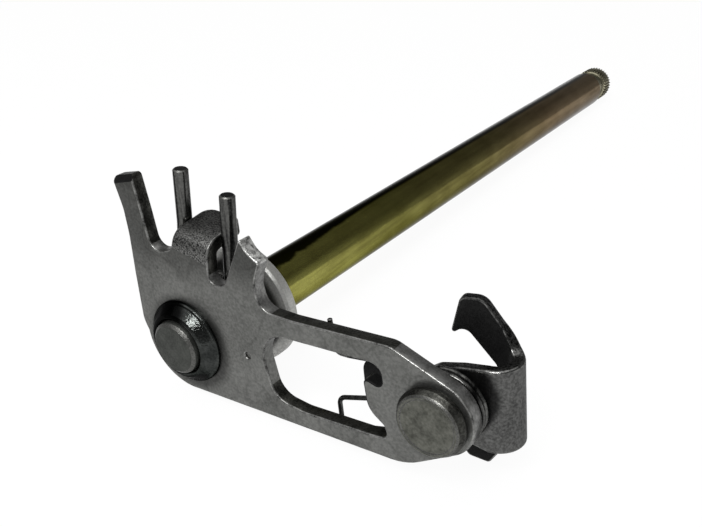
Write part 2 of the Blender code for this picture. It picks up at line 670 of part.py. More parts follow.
def main():
    """Build the gear shift shaft."""
    clear_scene()
    parts = new_collection("gear_shift_shaft")
    cutters = new_collection("cutters")
    steel = material("stamped_steel", STEEL, 0.45, 0.9)
    pawl_steel = material("pawl_steel", PAWL_STEEL, 0.45, 0.9)
    collar_steel = material("collar_steel", COLLAR_STEEL, 0.40, 0.9)
    zinc = material("yellow_zinc", ZINC_YELLOW, 0.30, 0.9)
    spring_steel = material("spring_steel", WIRE_STEEL, 0.35, 0.9)
    shift_shaft(parts, cutters, zinc)
    front_boss(parts, pawl_steel)
    shift_arm(parts, cutters, steel)
    return_spring(parts, spring_steel)
    spring_collar(parts, collar_steel)
    pawl_rivet(parts, steel)
    pawl_spring(parts, spring_steel)
    shift_pawl(parts, cutters, pawl_steel)
    root = bpy.data.objects.new("rest", None)
    parts.objects.link(root)
    settle(root, [item for item in parts.objects if item.type == "MESH"])
    for item in list(parts.objects) + list(cutters.objects):
        if item is not root and item.parent is None:
            item.parent = root


if __name__ == "__main__":
    main()
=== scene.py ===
"""Dressed model of a small motorcycle's gear shift shaft on a white studio table.

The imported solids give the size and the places. The visible pieces are built again here
with finer edges: the stamped arm with its rolled front edges, the folded pawl, the rod with
its spline, both springs, the flared boss, the collar and the rivet.
"""
from __future__ import annotations

import logging
import math
from collections.abc import Callable, Sequence
from dataclasses import dataclass, field
from enum import Enum
from typing import Union

import bmesh
import bpy
from mathutils import Matrix, Vector

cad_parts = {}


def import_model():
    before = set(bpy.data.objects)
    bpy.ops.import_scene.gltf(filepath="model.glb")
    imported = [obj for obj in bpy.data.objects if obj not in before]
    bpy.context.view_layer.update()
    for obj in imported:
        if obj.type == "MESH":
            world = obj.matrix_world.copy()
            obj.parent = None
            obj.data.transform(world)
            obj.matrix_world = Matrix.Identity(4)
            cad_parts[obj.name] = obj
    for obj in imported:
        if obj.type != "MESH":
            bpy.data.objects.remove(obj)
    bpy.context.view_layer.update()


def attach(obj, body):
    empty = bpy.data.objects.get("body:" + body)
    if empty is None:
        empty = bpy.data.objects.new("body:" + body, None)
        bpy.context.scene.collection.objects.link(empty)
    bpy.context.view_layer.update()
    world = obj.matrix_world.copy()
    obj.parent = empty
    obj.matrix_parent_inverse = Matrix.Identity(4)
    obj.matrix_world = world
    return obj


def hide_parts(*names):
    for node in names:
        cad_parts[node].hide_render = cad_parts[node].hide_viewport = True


LOG = logging.getLogger("gear_shift_shaft")
MM = 0.001
CUT = 0.000002  # millimetres: a point that is nearer than this to a cut lies on it
MERGE = 0.0005  # millimetres: points that are nearer than this to each other are one
ROLL_STEPS = 4
BURR_STEPS = 2
BUMP_STRENGTH = 0.6
ROUGH_SPAN = 0.12  # how much rougher steel is in its clouds than where it is clean
COAT_ROUGHNESS = 0.12
SHADE_WANDER = 1.6  # millimetres that the border of the painted shade round an axis wanders
SHADE_RISE = 8.0  # millimetres that the border of the painted shade above the table wanders
SHADE_SMEAR = 0.7  # how strong the thin smears in the painted shade are
BODY = "shaft_assembly"
PAWL_BODY = "pawl"

Corner = tuple[float, float, float]
Color = tuple[float, float, float]
Region = tuple[float, float, float, float]
Feed = Union[bpy.types.NodeSocket, float, Sequence[float]]


class Surface(Enum):
    """Where a face lies on a stamped piece, which is also its material's index."""

    FACE = 0
    WALL = 1
    ROLL = 2
    BACK = 3
    BENT = 4
    BEVEL = 5
    EAR = 6
    # walls painted lighter, as painted light where they catch the light
    LIT_WALL = 7


class WirePart(Enum):
    """Where a face lies on a wire, which is also its material's index."""

    SIDE = 0
    CHAMFER = 1
    END = 2


@dataclass(frozen=True)
class RestPose:
    """How the shaft's own frame lies on the table.

    Attributes:
        roll: Turn about the shaft, in degrees.
        dip: Slope of the shaft, in degrees.
        place: Where the shaft meets the arm's front, in millimetres.
    """

    roll: float = -14.772872
    dip: float = -1.844266
    place: tuple[float, float, float] = (-25.087131, -108.099602, 12.849887)

    def matrix(self) -> Matrix:
        """Return the matrix from the shaft's frame, in millimetres, to the row's, in metres."""
        turn = (Matrix.Rotation(math.radians(self.dip), 4, "X")
                @ Matrix.Rotation(math.radians(self.roll), 4, "Y"))
        return Matrix.Scale(MM, 4) @ Matrix.Translation(self.place) @ turn


REST = RestPose()


# ---------------------------------------------------------------- mesh helpers


def linked(name: str, data: bpy.types.ID) -> bpy.types.Object:
    """Return a new object of the scene that shows a mesh, a curve, a lamp or a camera."""
    piece = bpy.data.objects.new(name, data)
    bpy.context.scene.collection.objects.link(piece)
    return piece


def smooth(bm: bmesh.types.BMesh) -> None:
    """Shade every face smooth."""
    for face in bm.faces:
        face.smooth = True


def picked(items: Sequence[object], kind: type) -> list:
    """Return the items of one kind, such as the edges among a cut's results."""
    return [item for item in items if isinstance(item, kind)]


def extruded(bm: bmesh.types.BMesh, faces: Sequence[bmesh.types.BMFace],
             way: Sequence[float]) -> list[bmesh.types.BMFace]:
    """Extrude faces along a vector.

    Args:
        bm: The shape.
        faces: Its faces that are extruded.
        way: How far and which way.

    Returns:
        The moved faces.
    """
    grown = bmesh.ops.extrude_face_region(bm, geom=faces)["geom"]
    bmesh.ops.translate(bm, vec=way, verts=picked(grown, bmesh.types.BMVert))
    return picked(grown, bmesh.types.BMFace)


def inside(center: Vector, region: Region) -> bool:
    """Return whether a centre lies in a region (low x, high x, low z, high z)."""
    left, right, bottom, top = region
    return left < center.x < right and bottom < center.z < top


def polar(radius: float, degrees: float, center: Sequence[float] = (0.0, 0.0)) -> Vector:
    """Return a point of the XZ plane from its radius and angle about a centre."""
    angle = math.radians(degrees)
    return Vector((center[0] + radius * math.cos(angle), center[1] + radius * math.sin(angle)))


def circle(radius: float, count: int, center: Sequence[float] = (0.0, 0.0)) -> list[Vector]:
    """Return evenly spaced points of a circle in the XZ plane."""
    return [polar(radius, 360.0 * step / count, center) for step in range(count)]


def arc_corners(center: Sequence[float], radius: float, start: float, stop: float,
                step: float = 5.0) -> list[Corner]:
    """Return sharp corners along an arc.

    Args:
        center: The arc's centre in the XZ plane.
        radius: Its radius.
        start: First angle in degrees.
        stop: Last angle in degrees.
        step: Angle between corners in degrees.

    Returns:
        Corners (x, z, 0).
    """
    count = max(2, round(abs(stop - start) / step))
    points = [polar(radius, start + (stop - start) * index / count, center)
              for index in range(count + 1)]
    return [(point.x, point.y, 0.0) for point in points]


def rounded(corners: Sequence[Corner], step: float = 7.5, closed: bool = True) -> list[Vector]:
    """Round the corners of an outline.

    Args:
        corners: Places and radii (x, z, radius) in order.
        step: Largest turn of one edge of a rounding, in degrees.
        closed: Whether the last corner joins the first.

    Returns:
        The points of the outline.
    """
    points: list[Vector] = []
    count = len(corners)
    for index, (x, z, radius) in enumerate(corners):
        here = Vector((x, z))
        if not closed and index in (0, count - 1):
            points.append(here)
            continue
        before = Vector(corners[index - 1][:2]) - here
        after = Vector(corners[(index + 1) % count][:2]) - here
        turn = math.pi - before.angle(after)
        if radius == 0.0 or turn < math.radians(1.0):
            points.append(here)
            continue
        run = min(radius * math.tan(turn / 2.0), before.length * 0.499, after.length * 0.499)
        radius = run / math.tan(turn / 2.0)
        start = here + before.normalized() * run
        middle = (before.normalized() + after.normalized()).normalized()
        center = here + middle * radius / math.cos(turn / 2.0)
        side = 1.0 if before.x * after.y - before.y * after.x < 0.0 else -1.0
        steps = max(2, math.ceil(math.degrees(turn) / step))
        for part in range(steps + 1):
            spoke = Matrix.Rotation(side * turn * part / steps, 2) @ (start - center)
            points.append(center + spoke)
    return points


def resampled(points: Sequence[Vector], longest: float) -> list[Vector]:
    """Split the long edges of a closed outline.

    Args:
        points: The outline.
        longest: Longest edge that is left whole.

    Returns:
        The outline with more points.
    """
    result: list[Vector] = []
    for index, point in enumerate(points):
        after = points[(index + 1) % len(points)]
        parts = max(1, math.ceil((after - point).length / longest))
        result += [point.lerp(after, part / parts) for part in range(parts)]
    return result


def finished(bm: bmesh.types.BMesh, name: str, matrix: Matrix | None = None,
             sharp: float = 32.0) -> bpy.types.Object:
    """Turn a bmesh into an object at the origin, with its place in its mesh.

    Args:
        bm: The shape, in millimetres, in the shaft's frame.
        name: The object's name.
        matrix: A placement within the shaft's frame.
        sharp: Edges that turn by more than this many degrees are sharp.

    Returns:
        The linked object.
    """
    place = REST.matrix() @ (matrix or Matrix())
    bmesh.ops.transform(bm, matrix=place, verts=bm.verts)
    mesh = bpy.data.meshes.new(name)
    bm.to_mesh(mesh)
    bm.free()
    mesh.set_sharp_from_angle(angle=math.radians(sharp))
    return linked(name, mesh)


def turned(profile: Sequence[tuple[float, float]], steps: int = 96) -> bmesh.types.BMesh:
    """Spin a profile round the shaft's axis.

    Args:
        profile: Radius and place along Y, in order. It closes on itself unless it starts
            and ends on the axis.
        steps: Faces round the axis.

    Returns:
        The closed shape, shaded smooth.
    """
    bm = bmesh.new()
    verts = [bm.verts.new((radius, y, 0.0)) for radius, y in profile]
    edges = [bm.edges.new(pair) for pair in zip(verts, verts[1:])]
    if profile[0][0] > 0.0:
        edges.append(bm.edges.new((verts[-1], verts[0])))
    bmesh.ops.spin(bm, geom=verts + edges, cent=(0.0, 0.0, 0.0), axis=(0.0, 1.0, 0.0),
                   dvec=(0.0, 0.0, 0.0), angle=2.0 * math.pi, steps=steps, use_merge=True)
    bmesh.ops.remove_doubles(bm, verts=bm.verts, dist=MERGE)
    bmesh.ops.recalc_face_normals(bm, faces=bm.faces)
    smooth(bm)
    return bm


def mark_ring(bm: bmesh.types.BMesh, low: float, high: float, front: float,
              index: int = 1) -> None:
    """Give a ring of a turned piece's faces a material.

    Args:
        bm: The turned piece.
        low: The ring's inner radius.
        high: Its outer radius.
        front: Y that the faces lie ahead of.
        index: The material's index.
    """
    for face in bm.faces:
        center = face.calc_center_median()
        if low < math.hypot(center.x, center.z) < high and center.y < front:
            face.material_index = index


def filleted(points: Sequence[Corner], step: float = 15.0) -> list[tuple[float, float]]:
    """Return a turned profile whose corners (radius, y, fillet) are rounded."""
    return [(point.x, point.y) for point in rounded(points, step, closed=False)]


def stamped(outlines: Sequence[Sequence[Vector]], thickness: float, roll: float,
            burr: float = 0.12) -> bmesh.types.BMesh:
    """Stamp a sheet: flat faces, sheared walls and a front edge rolled by the die.

    Args:
        outlines: The outer outline first, then the holes, in the XZ plane.
        thickness: Sheet thickness; the front face lies at Y = 0.
        roll: Radius of the rolled front edge.
        burr: Radius of the small rounding at the back.

    Returns:
        The closed sheet, with each face's material index from Surface.
    """
    bm = bmesh.new()
    edges = []
    for outline in outlines:
        verts = [bm.verts.new((point.x, roll, point.y)) for point in outline]
        edges += [bm.edges.new((verts[index - 1], verts[index])) for index in range(len(verts))]
    bmesh.ops.triangle_fill(bm, use_beauty=True, edges=edges, normal=(0.0, -1.0, 0.0))
    front = list(bm.faces)
    back = extruded(bm, front, (0.0, thickness - roll - burr, 0.0))
    bmesh.ops.recalc_face_normals(bm, faces=bm.faces)
    flat = set(front) | set(back)
    for face in bm.faces:
        face.material_index = Surface.FACE.value if face in flat else Surface.WALL.value
        face.smooth = face not in flat
    for face in back:
        face.material_index = Surface.BACK.value
    for faces, radius, steps in ((front, roll, ROLL_STEPS), (back, burr, BURR_STEPS)):
        for part in range(steps):
            low, high = (math.pi / 2.0 * (part + extra) / steps for extra in (0, 1))
            ring = bmesh.ops.inset_region(
                bm, faces=faces, thickness=radius * (math.cos(low) - math.cos(high)),
                depth=radius * (math.sin(high) - math.sin(low)), use_boundary=True,
                use_even_offset=True)["faces"]
            for face in ring:
                face.material_index = Surface.ROLL.value
                face.smooth = True
    return bm


@dataclass(frozen=True)
class Fold:
    """A fold of a flat sheet about a line across it.

    Attributes:
        way: Direction along the sheet, across the fold.
        start: Where along the sheet it starts.
        length: Its length in the sheet's middle.
        radius: Its outer radius, at the sheet's front face.
        turn: Its whole turn in radians.
        steps: Strips that it is cut into.
    """

    way: Vector
    start: float
    length: float
    radius: float
    turn: float
    steps: int

    def cut(self, bm: bmesh.types.BMesh) -> None:
        """Cut the flat sheet into the strips that bend."""
        for step in range(self.steps + 1):
            bmesh.ops.bisect_plane(
                bm, geom=[*bm.verts, *bm.edges, *bm.faces], dist=CUT,
                plane_co=self.way * (self.start + self.length * step / self.steps),
                plane_no=self.way)

    def placed(self, along: float, depth: float) -> tuple[float, float]:
        """Fold a point of the flat sheet.

        Args:
            along: Its place along the sheet, beyond the fold's start.
            depth: Its depth behind the front face.

        Returns:
            The same two places once the sheet is folded.
        """
        run = along - self.start
        turn = min(run / self.length, 1.0) * self.turn
        rest = max(run - self.length, 0.0)
        radius = self.radius - depth
        return (self.start + radius * math.sin(turn) + rest * math.cos(turn),
                self.radius - radius * math.cos(turn) + rest * math.sin(turn))


def swept(name: str, points: Sequence[Vector], radius: float, chamfer: float,
          sides: int = 8) -> bpy.types.Object:
    """Sweep a round wire with chamfered ends along a route.

    Args:
        name: The object's name.
        points: The route in the shaft's frame.
        radius: The wire's radius.
        chamfer: Size of the chamfer at both ends.
        sides: Bevel resolution of the wire.

    Returns:
        The linked mesh object.
    """
    curve = bpy.data.curves.new(name, "CURVE")
    curve.dimensions = "3D"
    curve.bevel_depth = radius
    curve.bevel_resolution = sides
    curve.use_fill_caps = True
    spline = curve.splines.new("POLY")
    first = points[0] + (points[1] - points[0]).normalized() * chamfer
    last = points[-1] + (points[-2] - points[-1]).normalized() * chamfer
    route = [points[0], first, *points[1:-1], last, points[-1]]
    spline.points.add(len(route) - 1)
    for index, (point, place) in enumerate(zip(spline.points, route)):
        point.co = (*place, 1.0)
        point.radius = 1.0 - chamfer / radius if index in (0, len(route) - 1) else 1.0
    holder = linked(name, curve)
    bpy.context.view_layer.update()
    mesh = bpy.data.meshes.new_from_object(
        holder.evaluated_get(bpy.context.evaluated_depsgraph_get()))
    bpy.data.objects.remove(holder, do_unlink=True)
    bm = bmesh.new()
    bm.from_mesh(mesh)
    bmesh.ops.remove_doubles(bm, verts=bm.verts, dist=MERGE)
    bmesh.ops.recalc_face_normals(bm, faces=bm.faces)
    smooth(bm)
    ends = [(points[index], (points[index] - points[inner]).normalized())
            for index, inner in ((0, 1), (-1, -2))]
    for face in bm.faces:
        center = face.calc_center_median()
        for end, way in ends:
            if (center - end).length < 2.0 * radius and (center - end).dot(way) > -chamfer:
                part = WirePart.END if face.normal.dot(way) > 0.95 else WirePart.CHAMFER
                face.material_index = part.value
    bpy.data.meshes.remove(mesh)
    return finished(bm, name, sharp=30.0)


def catmull(points: Sequence[Vector], spacing: float) -> list[Vector]:
    """Return evenly spaced points along a smooth curve through the given ones."""
    places = [2.0 * points[0] - points[1], *points, 2.0 * points[-1] - points[-2]]
    route: list[Vector] = []
    for a, b, c, d in zip(places, places[1:], places[2:], places[3:]):
        steps = max(1, round((c - b).length / spacing))
        for step in range(steps):
            t = step / steps
            route.append(0.5 * (2.0 * b + (c - a) * t
                                + (2.0 * a - 5.0 * b + 4.0 * c - d) * t * t
                                + (3.0 * b - a - 3.0 * c + d) * t ** 3))
    route.append(points[-1])
    return route


# ---------------------------------------------------------------- shader nodes


class NodeTree:
    """Small helper that adds, feeds and joins shader nodes."""

    def __init__(self, tree: bpy.types.NodeTree) -> None:
        """Keep the tree."""
        self.tree = tree

    def add(self, kind: str, **values: object) -> bpy.types.Node:
        """Add a node and set its properties.

        Args:
            kind: The node's type.
            values: Its properties by name.

        Returns:
            The node.
        """
        node = self.tree.nodes.new(kind)
        for name, value in values.items():
            setattr(node, name, value)
        return node

    def feed(self, socket: bpy.types.NodeSocket, value: Feed) -> None:
        """Link an input to an output, or set it to a value.

        Args:
            socket: The input.
            value: The output, number or vector, or a colour without its alpha.
        """
        if isinstance(value, bpy.types.NodeSocket):
            self.tree.links.new(value, socket)
        elif socket.type == "RGBA":
            socket.default_value = (*value, 1.0)
        else:
            socket.default_value = value

    def feed_all(self, node: bpy.types.Node, values: dict[str, Feed]) -> None:
        """Feed a node's inputs by their names."""
        for name, value in values.items():
            self.feed(node.inputs[name], value)

    def math(self, kind: str, *terms: Feed, clamp: bool = False) -> bpy.types.NodeSocket:
        """Return the output of a Math node on its terms."""
        node = self.add("ShaderNodeMath", operation=kind, use_clamp=clamp)
        for socket, term in zip(node.inputs, terms):
            self.feed(socket, term)
        return node.outputs[0]

    def vector(self, kind: str, *terms: Feed, output: str = "Vector") -> bpy.types.NodeSocket:
        """Return the named output of a Vector Math node on its terms."""
        node = self.add("ShaderNodeVectorMath", operation=kind)
        for socket, term in zip(node.inputs, terms):
            self.feed(socket, term)
        return node.outputs[output]

    def part(self, vector: bpy.types.NodeSocket, axis: str) -> bpy.types.NodeSocket:
        """Return a vector's X, Y or Z."""
        node = self.add("ShaderNodeSeparateXYZ")
        self.feed(node.inputs[0], vector)
        return node.outputs[axis]

    def mix(self, factor: Feed, first: Feed, second: Feed,
            blend: str = "MIX") -> bpy.types.NodeSocket:
        """Return the colour output of a Mix node."""
        node = self.add("ShaderNodeMix", data_type="RGBA", blend_type=blend)
        for index, value in ((0, factor), (6, first), (7, second)):
            self.feed(node.inputs[index], value)
        return node.outputs[2]

    def dimmed(self, color: bpy.types.NodeSocket,
               share: bpy.types.NodeSocket) -> bpy.types.NodeSocket:
        """Return a colour of which only a share is left."""
        node = self.add("ShaderNodeCombineColor")
        for socket in node.inputs[:3]:
            self.feed(socket, share)
        return self.mix(1.0, color, node.outputs[0], "MULTIPLY")

    def noise(self, vector: bpy.types.NodeSocket, scale: Feed, detail: float = 3.0,
              roughness: float = 0.55) -> bpy.types.NodeSocket:
        """Return the value of a Noise texture."""
        node = self.add("ShaderNodeTexNoise")
        self.feed_all(node, {"Vector": vector, "Scale": scale, "Detail": detail,
                             "Roughness": roughness})
        return node.outputs["Fac"]

    def spread(self, value: bpy.types.NodeSocket, low: Feed, high: Feed, start: Feed = 0.0,
               stop: Feed = 1.0) -> bpy.types.NodeSocket:
        """Map a value from one range to another, smoothly and clamped."""
        node = self.add("ShaderNodeMapRange", interpolation_type="SMOOTHSTEP")
        self.feed_all(node, {"Value": value, "From Min": low, "From Max": high,
                             "To Min": start, "To Max": stop})
        return node.outputs["Result"]

    def effect(self, group: bpy.types.NodeTree, vector: bpy.types.NodeSocket,
               values: dict[str, Feed]) -> bpy.types.Node:
        """Place an effect group.

        Args:
            group: The group.
            vector: The coordinates that it is laid on.
            values: Its other inputs by name; one that is left out keeps its default.

        Returns:
            The group's node.
        """
        node = self.add("ShaderNodeGroup", node_tree=group)
        self.feed_all(node, {"Vector": vector, **values})
        return node


class EffectGroup(NodeTree):
    """An effect as a node group, which is built once and placed in many materials."""

    def __init__(self, name: str, inputs: dict[str, Feed], outputs: Sequence[str]) -> None:
        """Make the group with its sockets, and no effect yet.

        Args:
            name: The group's name.
            inputs: Its inputs after Vector and their defaults; a tuple makes a vector.
            outputs: Names of its float outputs.
        """
        super().__init__(bpy.data.node_groups.new(name, "ShaderNodeTree"))
        for label, value in {"Vector": (0.0, 0.0, 0.0), **inputs}.items():
            kind = "NodeSocketVector" if isinstance(value, tuple) else "NodeSocketFloat"
            socket = self.tree.interface.new_socket(label, in_out="INPUT", socket_type=kind)
            socket.default_value = value
        for label in outputs:
            self.tree.interface.new_socket(label, in_out="OUTPUT", socket_type="NodeSocketFloat")
        self.source = self.add("NodeGroupInput").outputs
        self.sink = self.add("NodeGroupOutput").inputs


def tumbled_group() -> bpy.types.NodeTree:
    """Return the effect of tumbled steel: a fine sparkle, soft clouds and a few dark pits."""
    group = EffectGroup("tumbled_steel",
                        {"Grain Scale": 2600.0, "Cloud Scale": 130.0, "Pits": 0.5},
                        ("Grain", "Cloud", "Pit"))
    place = group.source["Vector"]
    for label, detail in (("Grain", 2.0), ("Cloud", 4.0)):
        noise = group.noise(place, group.source[f"{label} Scale"], detail, 0.5)
        group.feed(group.sink[label], group.spread(noise, 0.28, 0.72))
    cells = group.add("ShaderNodeTexVoronoi", feature="F1")
    group.feed_all(cells, {"Vector": place, "Scale": 330.0})
    spot = group.spread(cells.outputs["Distance"], 0.05, 0.13, 1.0, 0.0)
    rare = group.add("ShaderNodeSeparateColor")
    group.feed(rare.inputs[0], cells.outputs["Color"])
    chosen = group.math("GREATER_THAN", rare.outputs[0], 0.86)
    group.feed(group.sink["Pit"], group.math("MULTIPLY", group.math("MULTIPLY", spot, chosen),
                                             group.source["Pits"]))
    return group.tree


def streak_group() -> bpy.types.NodeTree:
    """Return the effect of drawn or rubbed metal: fine streaks along the stretched axis."""
    group = EffectGroup("rubbed_streaks", {"Scale": 900.0}, ("Streak",))
    noise = group.noise(group.source["Vector"], group.source["Scale"], roughness=0.5)
    group.feed(group.sink["Streak"], group.spread(noise, 0.3, 0.7))
    return group.tree


def painted_shade_group() -> bpy.types.NodeTree:
    """Return painted shade round an axis along the shaft, and a darkening above the table.

    Its places are in metres, and its output is the share of the colour that is left.
    """
    group = EffectGroup("painted_shade", {"Centre": (0.0, 0.0, 0.0), "Near": 0.0092, "Far": 0.0116,
                                 "Depth": 0.4, "Low": 0.025, "High": 0.034, "Top": 1.0},
                        ("Left",))
    source = group.source
    place = source["Vector"]
    axis = (REST.matrix().to_3x3() @ Vector((0, 1, 0))).normalized()
    away = group.vector("SUBTRACT", place, source["Centre"])
    length = group.vector("LENGTH", group.vector("CROSS_PRODUCT", away, axis), output="Value")
    wander = group.math("MULTIPLY", group.noise(place, 260.0), SHADE_WANDER * MM)
    ring = group.spread(group.math("ADD", length, wander), source["Near"], source["Far"],
                        source["Depth"], 1.0)
    rise = group.math("MULTIPLY", group.noise(place, 90.0), SHADE_RISE * MM)
    raised = group.spread(group.math("ADD", group.part(place, "Z"), rise), source["Low"],
                          source["High"], 1.0, source["Top"])
    smear = group.spread(group.noise(place, 75.0, 1.0), 0.46, 0.50)
    edge = group.math("MULTIPLY", smear, group.math("SUBTRACT", 1.0, smear))
    clean = group.math("SUBTRACT", 1.0, group.math("MULTIPLY", edge, SHADE_SMEAR))
    group.feed(group.sink["Left"],
               group.math("MULTIPLY", group.math("MULTIPLY", ring, raised), clean))
    return group.tree


@dataclass(frozen=True)
class Effects:
    """The effect groups that the materials share.

    Attributes:
        tumbled: Tumbled steel.
        streak: Drawn or rubbed metal.
        painted_shade: Painted shade round an axis, and a darkening above the table.
    """

    tumbled: bpy.types.NodeTree
    streak: bpy.types.NodeTree
    painted_shade: bpy.types.NodeTree


# ---------------------------------------------------------------- finishes


@dataclass(frozen=True)
class Finish:
    """A metal finish.

    Attributes:
        name: The material's name.
        color: Base colour where the metal is clean.
        shade: Base colour in its clouds and pits.
        roughness: Roughness where it is clean.
        metallic: How metallic it is.
        grain: Share of the fine sparkle in the colour.
        cloud: Share of the soft clouds in the colour.
        pits: Strength of the dark pits.
        grain_scale: Scale of the sparkle, per metre.
        cloud_scale: Scale of the clouds, per metre.
        streak: Share of streaks in the colour.
        stretch: How the streaks are scaled along X, Y and Z.
        bump: Depth of the sparkle in metres.
        coat: Weight of an oil film.
        edge: Tint of the reflection at grazing angles.
        gloss: Level of the reflection where it isn't metallic.
    """

    name: str
    color: Color
    shade: Color
    roughness: float = 0.4
    metallic: float = 0.9
    grain: float = 0.3
    cloud: float = 0.3
    pits: float = 0.0
    grain_scale: float = 2600.0
    cloud_scale: float = 130.0
    streak: float = 0.0
    stretch: tuple[float, float, float] = (1.0, 1.0, 1.0)
    bump: float = 0.00002
    coat: float = 0.0
    edge: float = 0.6
    gloss: float = 0.4

    def build(self, effects: Effects) -> bpy.types.Material:
        """Make the material.

        Args:
            effects: The shared effect groups.

        Returns:
            The material.
        """
        material = bpy.data.materials.new(self.name)
        material.use_nodes = True
        material.diffuse_color = (*self.color, 1.0)
        tree = NodeTree(material.node_tree)
        place = tree.add("ShaderNodeTexCoord").outputs["Object"]
        steel = tree.effect(effects.tumbled, place, {
            "Grain Scale": self.grain_scale, "Cloud Scale": self.cloud_scale,
            "Pits": self.pits}).outputs
        level = tree.math("ADD", tree.math("MULTIPLY", steel["Grain"], self.grain),
                          tree.math("MULTIPLY", steel["Cloud"], self.cloud))
        if self.streak:
            mapping = tree.add("ShaderNodeMapping")
            tree.feed_all(mapping, {"Vector": place, "Scale": self.stretch})
            rubbed = tree.effect(effects.streak, mapping.outputs["Vector"], {})
            level = tree.math("ADD", level,
                              tree.math("MULTIPLY", rubbed.outputs["Streak"], self.streak))
        level = tree.math("ADD", level, steel["Pit"], clamp=True)
        tone = tree.mix(level, self.color, self.shade)
        bump = tree.add("ShaderNodeBump")
        tree.feed_all(bump, {"Strength": BUMP_STRENGTH, "Distance": self.bump,
                             "Height": steel["Grain"]})
        tree.feed_all(material.node_tree.nodes["Principled BSDF"], {
            "Base Color": self.tinted(tree, place, tone, effects),
            "Roughness": tree.math("MULTIPLY_ADD", level, ROUGH_SPAN,
                                   self.roughness - ROUGH_SPAN / 2.0),
            "Normal": bump.outputs["Normal"], "Metallic": self.metallic,
            "Specular IOR Level": self.gloss, "Specular Tint": (self.edge,) * 3,
            "Coat Weight": self.coat, "Coat Roughness": COAT_ROUGHNESS})
        return material

    def tinted(self, tree: NodeTree, place: bpy.types.NodeSocket, tone: bpy.types.NodeSocket,
               effects: Effects) -> bpy.types.NodeSocket:
        """Return the colour as it is; a finish with a tint of its own overrides this."""
        return tone


@dataclass(frozen=True)
class ZincFinish(Finish):
    """Yellow zinc plating, whose tint drifts along the rod, with a painted dark reflection along
    one side.

    Attributes:
        start: Y of the arm's end of the plating, in metres.
        length: Length of the plating in metres.
        drift: How far the bands' borders wander, in metres.
        bands: Places along the length, from 0 to 1, and their colours.
        dark_side: Direction of the rod's side with the painted dark reflection, in the shaft's
            frame.
        radius: The rod's radius in millimetres.
        shade_end: Two places along Y in metres, between which the painted dark band narrows.
        shade_width: How much wider the band is before them, as a share of the radius.
        shade_rim: Shares of the radius between which the plating darkens into the band.
        shade_left: Share of the colour that is left in the band.
    """

    start: float = -0.105
    length: float = 0.215
    drift: float = 0.030
    bands: tuple[tuple[float, Color], ...] = ()
    dark_side: tuple[float, float, float] = (-0.54, 0.0, 0.84)
    radius: float = 6.0
    shade_end: tuple[float, float] = (-0.095, -0.040)
    shade_width: float = 0.34
    shade_rim: tuple[float, float] = (0.53, 0.68)
    shade_left: float = 0.06

    def dark_band(self, tree: NodeTree, place: bpy.types.NodeSocket) -> bpy.types.NodeSocket:
        """Return how far a point lies in the painted dark band: more towards one side and near
        the arm.

        Args:
            tree: The material's nodes.
            place: The object's coordinates.

        Returns:
            The way towards the band's side, as a share of the radius.
        """
        way = REST.matrix().to_3x3() @ Vector(self.dark_side)
        away = tree.vector("SUBTRACT", place, REST.matrix().translation)
        side = tree.vector("DOT_PRODUCT", away, way.normalized() / (self.radius * MM),
                           output="Value")
        near = tree.spread(tree.part(place, "Y"), *self.shade_end, self.shade_width, 0.0)
        patchy = tree.math("ADD", tree.math("MULTIPLY", tree.noise(place, 380.0), 1.4), 0.3)
        return tree.math("ADD", side, tree.math("MULTIPLY", near, patchy))

    def tinted(self, tree: NodeTree, place: bpy.types.NodeSocket, tone: bpy.types.NodeSocket,
               effects: Effects) -> bpy.types.NodeSocket:
        """Paint the dark reflection into the colour, and multiply it by bands along the rod,
        whose borders wander.

        Args:
            tree: The material's nodes.
            place: The object's coordinates.
            tone: The colour so far.
            effects: The shared effect groups, of which this finish takes none.

        Returns:
            The colour of the plating.
        """
        left = tree.spread(self.dark_band(tree, place), *self.shade_rim, 1.0, self.shade_left)
        drift = tree.math("MULTIPLY", tree.noise(place, 38.0), self.drift)
        along = tree.math("ADD", tree.part(place, "Y"), drift)
        along = tree.math("SUBTRACT", along, self.start + self.drift / 2.0)
        ramp = tree.add("ShaderNodeValToRGB")
        elements = ramp.color_ramp.elements
        while len(elements) < len(self.bands):
            elements.new(0.5)
        for element, (where, color) in zip(elements, self.bands):
            element.position = where
            element.color = (*color, 1.0)
        tree.feed(ramp.inputs["Fac"], tree.math("DIVIDE", along, self.length))
        return tree.mix(1.0, tree.dimmed(tone, left), ramp.outputs["Color"], "MULTIPLY")


@dataclass(frozen=True)
class PaintedShadeFinish(Finish):
    """Steel with painted shade within a radius of an axis parallel to the shaft.

    Attributes:
        axis: A point of the axis in the shaft's frame, in millimetres.
        near: Radius up to which it is darkest, in millimetres.
        far: Radius from which it is clean.
        depth: Share of the colour that is left within the radius.
        height: Two heights above the table, in millimetres, between which it darkens.
        top: Share of the colour that is left above them.
    """

    axis: tuple[float, float, float] = (0.0, 0.0, 0.0)
    near: float = 8.4
    far: float = 10.8
    depth: float = 0.4
    height: tuple[float, float] = (25.0, 34.0)
    top: float = 1.0

    def tinted(self, tree: NodeTree, place: bpy.types.NodeSocket, tone: bpy.types.NodeSocket,
               effects: Effects) -> bpy.types.NodeSocket:
        """Paint shade into the colour round the axis, and darken it above the table.

        Args:
            tree: The material's nodes.
            place: The object's coordinates.
            tone: The colour so far.
            effects: The shared effect groups.

        Returns:
            The darkened colour.
        """
        near, far = ((radius + SHADE_WANDER / 2.0) * MM for radius in (self.near, self.far))
        painted_shade = tree.effect(effects.painted_shade, place, {
            "Centre": REST.matrix() @ Vector(self.axis), "Near": near, "Far": far,
            "Depth": self.depth, "Low": self.height[0] * MM, "High": self.height[1] * MM,
            "Top": self.top})
        return tree.dimmed(tone, painted_shade.outputs["Left"])


